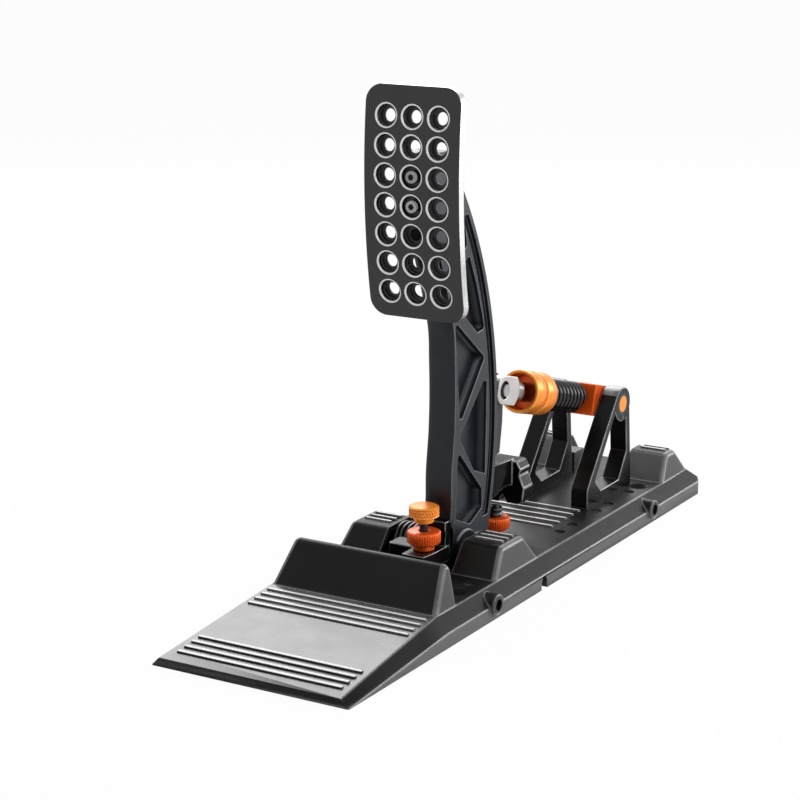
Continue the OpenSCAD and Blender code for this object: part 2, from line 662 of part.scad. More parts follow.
// Groove beside the rear rim
module rim_groove() for (s = [-1, 1]) intersection() {
  translate(concat(0, arm_c)) x_tube(2 * (arm_r - rim[0]), 2 * (arm_r - rim[1]), s * arm_w / 2 - rim[2],
    s * arm_w / 2 + rim[2], $fn = 360);
  translate([-arm_w, 0, 36]) cube([2 * arm_w, base_l, 178]);
}
module lug() along_x(lug_t) {
  polygon([[rear_edge(118) - 3, 120], [clevis_at - 2, clevis_z + 11], [clevis_at + lug_r - 1, clevis_z + 6],
    [clevis_at + lug_r, clevis_z], [clevis_at + lug_r - 0.6, 84], [clevis_at + lug_r - 3.6, 66],
    [rear_edge(66) - 3, 62]]);
  translate([clevis_at, clevis_z]) circle(r = lug_r);
}
module pedal_arm() color("#2b2d36") in_arm() difference() {
  union() {
    arm_blank();
    translate([0, pivot_at, pivot_z]) x_rod(2 * hub_r, hub_w);
    translate([0, pivot_at + 16, pivot_z - 3.5]) x_rod(11, hub_w - 2);
    lug();
  }
  for (p = arm_pockets) pocket_cut(on_arm(p));
  rim_groove();
  translate([0, pivot_at, pivot_z]) x_rod(bush_od + 2 * seat_gap, hub_w + over);
  translate([0, pivot_at + 16, pivot_z - 3.5]) x_rod(6 + 2 * seat_gap, hub_w);
  translate([0, clevis_at, clevis_z]) x_rod(bolt_d + 2 * bolt_play, arm_w);
  for (j = [0, 1]) at_row(j) cylinder(d = plate_screw + 2 * seat_gap, h = 20);
  for (s = [-1, 1]) translate([s * toe_screw[0], arm_foot - over, toe_screw[1]]) rotate([-90, 0, 0])
    cylinder(d = 3 + 2 * seat_gap, h = 10);
  for (z = block_screw_z) translate([0, rear_edge(z) - block_screw_l[0] - over, z]) rotate([-90, 0, 0])
    cylinder(d = 3 + 2 * seat_gap, h = block_screw_l[1]);
}
module arm_bushes() color("#b98d4a") on_pivot() translate([arm_x, 0, 0]) both_sides() {
  x_tube(bush_od, axle_d + 2 * run_gap, hub_w / 2 - 7, hub_w / 2);
  x_tube(bush_od + 4, axle_d + 2 * run_gap, hub_w / 2, hub_w / 2 + flange_t);
}

// Pedal plate, curved about an axis along X
plate_half = plate_l / 2;
module plate_outline() {
  square([plate_w - 2 * plate_corner, plate_l], center = true);
  square([plate_w, plate_l - 2 * plate_corner], center = true);
  for (x = [-1, 1], y = [-1, 1])
    translate([x * (plate_w / 2 - plate_corner), y * (plate_half - plate_corner)]) circle(r = plate_corner);
}
module pedal_plate() color("#1d1e20") in_arm() difference() {
  intersection() {
    translate([0, plate_c[0], plate_c[1]]) x_tube(2 * plate_r, 2 * plate_back, -plate_w, plate_w, $fn = 720);
    translate([0, plate_face(plate_z) + 30, plate_z]) rotate([90, 0, 0])
      linear_extrude(height = 60) plate_outline();
  }
  for (i = [-1 : 1], j = [-3 : 3]) plate_hole(i, j);
}
// Places things square to the plate's face at a row of holes
module at_row(j) {
  z = plate_z - 1 + j * grip_pitch;
  translate([0, plate_face(z), z]) rotate([-90 - asin((z - plate_c[1]) / plate_r), 0, 0]) children();
}
module plate_hole(i, j) {
  screwed = i == 0 && (j == 0 || j == 1);
  at_row(j) translate([i * grip_pitch, 0, 0]) {
    translate([0, 0, -over])
      cylinder(d = screwed ? plate_screw + 2 * seat_gap : through_d, h = plate_t + 3 * over);
    translate([0, 0, -over]) cylinder(d = grip_d, h = plate_t - 2 + over);
    translate([0, 0, -0.4]) cylinder(d1 = ring_d + 0.8, d2 = grip_d, h = (ring_d + 0.8 - grip_d) / 2);
  }
}
module plate_screws() color("#3a3c40") in_arm() for (j = [0, 1]) at_row(j)
  translate([0, 0, plate_t - 2 - seat_gap]) mirror([0, 0, 1]) socket_screw(plate_screw, 14);

// Toe plate: tongue under the front adjuster, flange against the arm, wing under the return spring's leg
toe_screw = [5, toe_top + 7.5];
toe_flange = [16, 5, 14];
wing_x = -13.5 - arm_x;
module toe_plate() color("#17181a") in_arm() difference() {
  union() {
    translate([0, 0, toe_top - toe_t]) linear_extrude(height = toe_t) polygon(concat(
      rounded([[-7, front_at - 13], [7, front_at - 13], [8.5, front_at - 4], [8.5, arm_foot - seat_gap],
        [-8.5, arm_foot - seat_gap], [-8.5, front_at + 13], [wing_x, front_at + 13], [wing_x, front_at + 1],
        [-7, front_at]], 1.2)));
    translate([-toe_flange[0] / 2, arm_foot - seat_gap - toe_flange[1], toe_top - over])
      cube([toe_flange[0], toe_flange[1], toe_flange[2] + over]);
  }
  translate([0, front_at, 0]) cylinder(d = stud_d + 2 * run_gap, h = toe_top + over);
  on_hub_clear();
  for (s = [-1, 1]) translate([s * toe_screw[0], arm_foot, toe_screw[1]]) rotate([90, 0, 0]) {
    cylinder(d = 3 + 2 * seat_gap, h = 2 * toe_flange[1], center = true);
    translate([0, 0, 2]) cylinder(d = 5.4, h = toe_flange[1]);
  }
}
module on_hub_clear() translate([0, pivot_at, pivot_z]) {
  x_rod(2 * hub_r + 0.8, hub_w + 1);
  translate([-arm_x, 0, 0]) x_rod(2 * return_r + return_wire + 2, 3 * base_w);
}
module toe_screws() color("#3a3c40") in_arm() for (s = [-1, 1])
  translate([s * toe_screw[0], arm_foot - 2 - seat_gap, toe_screw[1]]) rotate([90, 0, 0]) socket_screw(3, 9);

// Stop block: bridge over the rear stop, then a wide head with two rounded lobes
block_screw_z = [48.4, 54.8];
block_screw_l = [10, 20];
sole = [at_rest([rear_at - 8, pad_top + stop_gap]), at_rest([rear_at + 6.5, pad_top + stop_gap])];
module stop_block() color("#111214") in_arm() difference() {
  union() {
    along_x(12) polygon([[rear_edge(62) - 2, 62], [block_y[0] + 3, 60], [block_y[0] + 3, 44],
      sole[1], sole[0],
      [rear_edge(45) - 2, sole[0][1]]]);
    translate([0, block_y[0], 0]) along_y(block_y[1] - block_y[0]) difference() {
      polygon(concat([[9, 58.6], [11.8, 54], [10.8, 50.5], [block_mid, 43]],
        corner([block_mid, 43], [block_mid - 1, 32.6], [4, 32.6], 4),
          corner([block_mid - 1, 32.6], [2.5, 32.6], [0.4, 37], 2),
        [[0, 37.4]],
        corner([-0.4, 37], [-2.5, 32.6], [1 - block_mid, 32.6], 2),
          corner([-4, 32.6], [1 - block_mid, 32.6], [-block_mid, 43], 4),
        [[-block_mid, 43], [-10.8, 50.5], [-11.8, 54], [-9, 58.6]]));
    }
  }
  translate(concat(0, arm_c)) x_rod(2 * arm_r + 2 * seat_gap, 40, $fn = 360);
  along_x(lug_t + 2 * seat_gap) polygon([[rear_edge(62) - 4, 61.5], [clevis_at + lug_r, 61.5],
    [clevis_at + lug_r, 80],
    [rear_edge(62) - 4, 80]]);
  for (z = block_screw_z) translate([0, rear_edge(z), z]) rotate([-90, 0, 0]) {
    translate([0, 0, -3]) cylinder(d = 3 + 2 * screw_gap, h = block_screw_l[1] + 3 + over);
    translate([0, 0, block_screw_l[1]]) cylinder(d = 5.6, h = 40);
  }
}
module stop_block_screws() color("#3a3c40") in_arm() for (z = block_screw_z)
  translate([0, rear_edge(z) + block_screw_l[1] + seat_gap, z]) rotate([-90, 0, 0])
    socket_screw(3, block_screw_l[0] + block_screw_l[1]);

// Front adjuster
module front_stud() color("#1b1c1f") in_arm() translate([0, front_at, stud_tip])
  cylinder(d = stud_d, h = stud_top - stud_tip);
module front_knob() color("#e8641b") in_arm() translate([0, front_at, knob_z]) difference() {
  union() {
    cylinder(d = knob_d * 0.66, h = 3.4);
    translate([0, 0, 3]) cylinder(d1 = knob_d - 2, d2 = knob_d, h = 1.01);
    translate([0, 0, 4]) cylinder(d = knob_d, h = knob_h - 1.6);
    translate([0, 0, knob_h + 2.4 - 0.01]) cylinder(d1 = knob_d, d2 = knob_d - 2.4, h = 0.8);
  }
  translate([0, 0, -over]) cylinder(d = stud_d + 2 * seat_gap, h = stud_top - knob_z + over + seat_gap);
}
module front_lock_nut() color("#e0551a") in_arm() translate([0, front_at, nut_z]) lock_nut();

// Rear stop
module rear_stop_stud() color("#1b1c1f") in_arm() translate([0, rear_at, 4])
  cylinder(d = stud_d, h = pad_z + 2.4 - 4);
module rear_stop_pad() color("#141414") in_arm() translate([0, rear_at, pad_z]) difference() {
  union() {
    cylinder(d = pad_d, h = pad_h - 1);
    translate([0, 0, pad_h - 1.01]) cylinder(d1 = pad_d, d2 = pad_d - 2, h = 1.01);
  }
  translate([0, 0, -over]) cylinder(d = stud_d + 2 * seat_gap, h = 2.4 + over + seat_gap);
}
module rear_lock_nut() color("#e0551a") in_arm() translate([0, rear_at, rear_nut_z]) lock_nut();

// Spring unit, drawn along the line from the clevis pin to the trunnion
module trunnion_block() color("#d9481a") on_strut(strut_l) difference() {
  translate([-frame_in + side_gap, -block_h / 2, -block_front])
    cube([frame_gap - 2 * side_gap, block_h, block_front + block_rear]);
  translate([0, 0, -block_front - over])
    cylinder(d = guide_od + 2 * seat_gap, h = block_front + block_rear + 2 * over);
  x_rod(pin_d + 2 * seat_gap, frame_gap);
}
module trunnion_pins() color("#ea7a35") on_strut(strut_l) both_sides()
  translate([(guide_od / 2 + 0.4 + frame_in + frame_t) / 2, 0, 0])
  x_rod(pin_d, frame_in + frame_t - guide_od / 2 - 0.4);
module guide_bush() color("#3a3c40") on_strut(strut_l - block_front) difference() {
  cylinder(d = guide_od, h = block_front + block_rear);
  translate([0, 0, -over]) cylinder(d = rod_d + 2 * run_gap, h = block_front + block_rear + 2 * over);
}
rod_l = strut_l + block_rear + 7.5 - rod_start;
module spring_rod() color("#6f7276") on_strut(rod_start + seat_gap) cylinder(d = rod_d, h = rod_l);
module rod_clevis() color("#b9b7b5") on_strut() difference() {
  union() {
    intersection() {
      along_x(clevis_w) {
        for (s = [-1, 1]) translate([s * (clevis_h / 2 - fork_r), fork_r - clevis_h / 2]) circle(r = fork_r);
        translate([fork_r - clevis_h / 2, -clevis_h / 2]) square([clevis_h - 2 * fork_r, 2 * fork_r]);
        translate([-clevis_h / 2, fork_r - clevis_h / 2]) square([clevis_h, fork_end + clevis_h / 2 - fork_r]);
      }
      rotate_extrude() polygon([[0, -clevis_h], [0.75 * clevis_h, -clevis_h], [0.75 * clevis_h, fork_end - 6],
        [neck_d / 2 + 0.4, fork_end], [0, fork_end]]);
    }
    translate([0, 0, fork_end - over]) cylinder(d = neck_d, h = neck_l + over);
  }
  translate([-lug_t / 2 - side_gap, -clevis_h, -clevis_h])
    cube([lug_t + 2 * side_gap, 2 * clevis_h, clevis_h + slot_end]);
  x_rod(bolt_d + 2 * seat_gap, clevis_w + over);
  translate([clevis_w / 2, 0, 0]) x_rod(bolt_d * 1.75, 4.4);
  translate([0, 0, rod_start]) cylinder(d = rod_d + 2 * seat_gap, h = fork_end + neck_l);
}
module clevis_bolt() color("#a9abae") on_strut() {
  translate([-2, 0, 0]) x_rod(bolt_d, clevis_w + 3);
  translate([clevis_w / 2 - 2.2 + seat_gap, 0, 0]) rotate([0, 90, 0]) cylinder(d = bolt_d * 1.2, h = 3.4);
}
module clevis_nut() color("#8c8f94") on_strut()
  translate([-clevis_w / 2 - seat_gap, 0, 0]) rotate([0, -90, 0]) difference() {
  cylinder(d = bolt_d * 1.8, h = 2.8, $fn = 6);
  translate([0, 0, -over]) cylinder(d = bolt_d + 2 * seat_gap, h = 5);
}
module rod_end_nut() color("#3a3c40") on_strut(strut_l + block_rear + 0.4) difference() {
  cylinder(d = rod_d * 1.6, h = 6, $fn = 6);
  translate([0, 0, -over]) cylinder(d = rod_d + 2 * seat_gap, h = 8);
}
// Preload cup with a hollow mouth, and the ring that carries the spring
module preload_cup() color("#ee7a1f") on_strut(cup_at) rotate_extrude() {
  r = ring_od / 2;
  b = rod_d / 2 + run_gap;
  polygon([[b, ring_l - 3], [b, ring_l], [r - 1, ring_l], [r, ring_l - 1], [r, 0.8],
    [r - 0.8, 0], [r - 2.2, 0],
    [r - 2.6, ring_l - 3]]);
}
module preload_ring() color("#ee7a1f") on_strut(cup_at + ring_l + 0.2) rotate_extrude() {
  r = ring_od / 2;
  b = rod_d / 2 + run_gap;
  h = ring_l + 1.8;
  polygon([[b, 0], [r - 2, 0], [r - 2, 1.6], [r - 0.8, 1.6], [r, 2.4], [r, h - 0.8], [r - 0.8, h], [b, h]]);
}
spring_pitch = (spring_l - wire_d - 0.6) / spring_turns;
spring_line = coil((spring_d - wire_d) / 2, spring_pitch, spring_turns, wire_d, wire_d);
echo(main_spring_gap = coil_gap(spring_line, wire_d));
module main_spring() color("#151618") on_strut(spring_at + 0.3 + wire_d / 2)
  tube(coil_rings(spring_line, wire_d));

base_tray();
pivot_axle();
axle_caps();
cap_screws();
axle_spacer();
spring_mandrel();
return_spring();
side_inserts();
a_frame_right();
a_frame_left();
a_frame_screws();
pin_bushes();
sensor_board();
cable_socket();
pedal_arm();
arm_bushes();
pedal_plate();
plate_screws();
toe_plate();
toe_screws();
stop_block();
stop_block_screws();
sensor_magnet();
front_stud();
front_knob();
front_lock_nut();
rear_stop_stud();
rear_stop_pad();
rear_lock_nut();
trunnion_block();
trunnion_pins();
guide_bush();
spring_rod();
rod_clevis();
clevis_bolt();
clevis_nut();
rod_end_nut();
preload_cup();
preload_ring();
main_spring();
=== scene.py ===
import bmesh
import bpy
import math
from mathutils import Euler, Matrix, Vector
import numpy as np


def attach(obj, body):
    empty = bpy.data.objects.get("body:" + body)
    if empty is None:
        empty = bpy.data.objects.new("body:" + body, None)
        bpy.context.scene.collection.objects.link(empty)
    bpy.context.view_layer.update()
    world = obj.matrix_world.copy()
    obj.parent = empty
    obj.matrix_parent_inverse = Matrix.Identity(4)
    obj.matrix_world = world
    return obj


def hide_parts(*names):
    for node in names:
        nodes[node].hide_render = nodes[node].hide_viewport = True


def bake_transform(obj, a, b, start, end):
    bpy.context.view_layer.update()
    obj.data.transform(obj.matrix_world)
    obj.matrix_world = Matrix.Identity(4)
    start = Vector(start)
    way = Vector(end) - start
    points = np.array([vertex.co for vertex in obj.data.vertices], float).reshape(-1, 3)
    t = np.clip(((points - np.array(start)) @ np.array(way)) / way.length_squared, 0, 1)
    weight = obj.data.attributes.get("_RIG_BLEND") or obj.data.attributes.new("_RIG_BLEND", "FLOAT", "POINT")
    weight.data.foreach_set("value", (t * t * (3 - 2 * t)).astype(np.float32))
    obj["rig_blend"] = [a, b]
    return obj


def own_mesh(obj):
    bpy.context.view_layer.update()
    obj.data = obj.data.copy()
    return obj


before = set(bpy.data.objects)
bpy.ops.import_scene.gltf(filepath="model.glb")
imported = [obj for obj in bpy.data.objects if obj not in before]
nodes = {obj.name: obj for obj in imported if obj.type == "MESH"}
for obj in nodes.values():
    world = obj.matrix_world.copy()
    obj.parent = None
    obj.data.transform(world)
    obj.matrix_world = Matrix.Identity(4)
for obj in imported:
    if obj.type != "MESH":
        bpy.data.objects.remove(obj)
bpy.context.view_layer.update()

scene = bpy.context.scene
mm = 0.001
print("frame loaded:", len(nodes), "nodes")

# where things are, in millimetres from the middle of the base's underside
layout = {
    "armX": 10.0,
    "pivot": (-26.5, 19.0),
    "frontY": -58.5,
    "rearY": 24.2,
    "clevis": (20.1, 104.9),
    "trunnion": (143.9, 72.0),
}
runY, runZ = (end - start for start, end in zip(layout["clevis"], layout["trunnion"]))
strutAxis = Vector((0, runY, runZ)).normalized()


def onStrut(s):
    start = Vector((layout["armX"], *layout["clevis"]))
    return (start + strutAxis * s) * mm


# camera at the photograph's angle
shot = {
    "place": (0.6016, -1.0893, 0.4177), "tilt": 14.28, "turn": 30.5, "roll": 0.12,
    "lens": 100.8, "sensor": 36.0,
}
camera = bpy.data.objects.new("camera", bpy.data.cameras.new("camera"))
scene.collection.objects.link(camera)
camera.location = shot["place"]
aim = Euler((math.radians(90 - shot["tilt"]), 0, math.radians(shot["turn"]))).to_matrix()
camera.rotation_euler = (aim @ Matrix.Rotation(math.radians(shot["roll"]), 3, "Z")).to_euler()
camera.data.lens = shot["lens"]
camera.data.sensor_width = shot["sensor"]
scene.camera = camera
scene.view_settings.view_transform = "Standard"


# shader helpers
def addNode(tree, kind, **values):
    node = tree.nodes.new(kind)
    for key, value in values.items():
        if hasattr(node, key):
            setattr(node, key, value)
        else:
            node.inputs[key].default_value = value
    return node


def mathNode(tree, operation, a, b=None, clamp=False):
    node = tree.nodes.new("ShaderNodeMath")
    node.operation = operation
    node.use_clamp = clamp
    for i, value in enumerate((a, b)):
        if value is None:
            continue
        if isinstance(value, (int, float)):
            node.inputs[i].default_value = value
        else:
            tree.links.new(value, node.inputs[i])
    return node.outputs[0]


def newGroup(name, inputs, outputs):
    tree = bpy.data.node_groups.new(name, "ShaderNodeTree")
    for label, value in inputs:
        socket = tree.interface.new_socket(label, in_out="INPUT", socket_type="NodeSocketFloat")
        socket.default_value = value
    for label in outputs:
        tree.interface.new_socket(label, in_out="OUTPUT", socket_type="NodeSocketFloat")
    return tree, tree.nodes.new("NodeGroupInput"), tree.nodes.new("NodeGroupOutput")


def buildGrain():
    # fine moulded or sprayed texture, with a slow mottle
    tree, taken, given = newGroup("fineGrain", [("Scale", 900.0), ("Detail", 3.0)], ["Height", "Mottle"])
    coords = addNode(tree, "ShaderNodeTexCoord")
    fine = addNode(tree, "ShaderNodeTexNoise", Roughness=0.6)
    slow = addNode(tree, "ShaderNodeTexNoise", Detail=3.0, Roughness=0.55)
    for noise in (fine, slow):
        tree.links.new(coords.outputs["Object"], noise.inputs["Vector"])
    tree.links.new(taken.outputs["Scale"], fine.inputs["Scale"])
    tree.links.new(taken.outputs["Detail"], fine.inputs["Detail"])
    tree.links.new(mathNode(tree, "MULTIPLY", taken.outputs["Scale"], 0.035), slow.inputs["Scale"])
    tree.links.new(fine.outputs["Fac"], given.inputs["Height"])
    tree.links.new(slow.outputs["Fac"], given.inputs["Mottle"])
    return tree


def buildEdgeLight():
    # painted highlight along edges, lighter where the rounded normal bends away from the flat one
    tree, taken, given = newGroup("edgeRub", [("Radius", 0.0008), ("Gain", 3.0)], ["Edge"])
    rounded = addNode(tree, "ShaderNodeBevel", samples=4)
    tree.links.new(taken.outputs["Radius"], rounded.inputs["Radius"])
    flat = addNode(tree, "ShaderNodeNewGeometry")
    dot = addNode(tree, "ShaderNodeVectorMath", operation="DOT_PRODUCT")
    tree.links.new(rounded.outputs["Normal"], dot.inputs[0])
    tree.links.new(flat.outputs["Normal"], dot.inputs[1])
    bend = mathNode(tree, "SUBTRACT", 1.0, dot.outputs["Value"])
    coords = addNode(tree, "ShaderNodeTexCoord")
    patch = addNode(tree, "ShaderNodeTexNoise", Scale=260.0, Detail=2.0)
    tree.links.new(coords.outputs["Object"], patch.inputs["Vector"])
    litEdge = mathNode(tree, "MULTIPLY", bend, taken.outputs["Gain"])
    litEdge = mathNode(tree, "MULTIPLY", litEdge, mathNode(tree, "ADD", patch.outputs["Fac"], 0.35), clamp=True)
    tree.links.new(litEdge, given.inputs["Edge"])
    return tree


def buildStreaks():
    # drawn or turned metal: noise pulled out along X
    tree, taken, given = newGroup("drawnLines", [("Scale", 700.0), ("Pull", 0.06)], ["Height", "Mottle"])
    coords = addNode(tree, "ShaderNodeTexCoord")
    split = addNode(tree, "ShaderNodeSeparateXYZ")
    joined = addNode(tree, "ShaderNodeCombineXYZ")
    tree.links.new(coords.outputs["Object"], split.inputs[0])
    pulled = mathNode(tree, "MULTIPLY", split.outputs["X"], taken.outputs["Pull"])
    tree.links.new(pulled, joined.inputs["X"])
    tree.links.new(split.outputs["Y"], joined.inputs["Y"])
    tree.links.new(split.outputs["Z"], joined.inputs["Z"])
    lines = addNode(tree, "ShaderNodeTexNoise", Detail=4.0, Roughness=0.65)
    slow = addNode(tree, "ShaderNodeTexNoise", Scale=45.0, Detail=2.0)
    tree.links.new(joined.outputs[0], lines.inputs["Vector"])
    tree.links.new(coords.outputs["Object"], slow.inputs["Vector"])
    tree.links.new(taken.outputs["Scale"], lines.inputs["Scale"])
    tree.links.new(lines.outputs["Fac"], given.inputs["Height"])
    tree.links.new(slow.outputs["Fac"], given.inputs["Mottle"])
    return tree


groups = {"grain": buildGrain(), "edgeLight": buildEdgeLight(), "streaks": buildStreaks()}


def placeGroup(tree, group, values):
    node = tree.nodes.new("ShaderNodeGroup")
    node.node_tree = groups[group]
    for key, value in values.items():
        node.inputs[key].default_value = value
    return node


def mixColour(tree, mask, low, high):
    # inputs 6 and 7 and output 2 are the Mix node's colour sockets
    node = addNode(tree, "ShaderNodeMix", data_type="RGBA")
    if hasattr(low, "links"):
        tree.links.new(low, node.inputs[6])
    else:
        node.inputs[6].default_value = (*low, 1)
    node.inputs[7].default_value = (*high, 1)
    tree.links.new(mask, node.inputs[0])
    return node.outputs[2]


def mapRange(tree, value, low, high, start=0.3, stop=0.7):
    node = addNode(tree, "ShaderNodeMapRange")
    for i, number in enumerate((start, stop, low, high)):
        node.inputs[i + 1].default_value = number
    tree.links.new(value, node.inputs[0])
    return node.outputs[0]


def finish(name, look):
    # one finish: texture group, painted highlight on the edges, roughness that drifts, bump
    material = bpy.data.materials.new(name)
    material.use_nodes = True
    tree = material.node_tree
    shader = tree.nodes["Principled BSDF"]
    for key, value in look.get("fixed", {}).items():
        shader.inputs[key].default_value = value
    texture = placeGroup(tree, look["texture"], look["textureValues"])
    mask = mapRange(tree, texture.outputs["Mottle"], 0, 1)
    colour = mixColour(tree, mask, look["colour"], look["drift"])
    rough = mapRange(tree, texture.outputs["Mottle"], *look["rough"])
    if "edgeLight" in look:
        # a lighter colour on the edges, as painted highlight
        edge = placeGroup(tree, "edgeLight", look["edgeLight"])
        colour = mixColour(tree, edge.outputs["Edge"], colour, look["edgeLightColour"])
    tree.links.new(colour, shader.inputs["Base Color"])
    tree.links.new(rough, shader.inputs["Roughness"])
    bump = addNode(tree, "ShaderNodeBump", Strength=look["bump"], Distance=look["depth"])
    tree.links.new(texture.outputs["Height"], bump.inputs["Height"])
    tree.links.new(bump.outputs["Normal"], shader.inputs["Normal"])
    return material


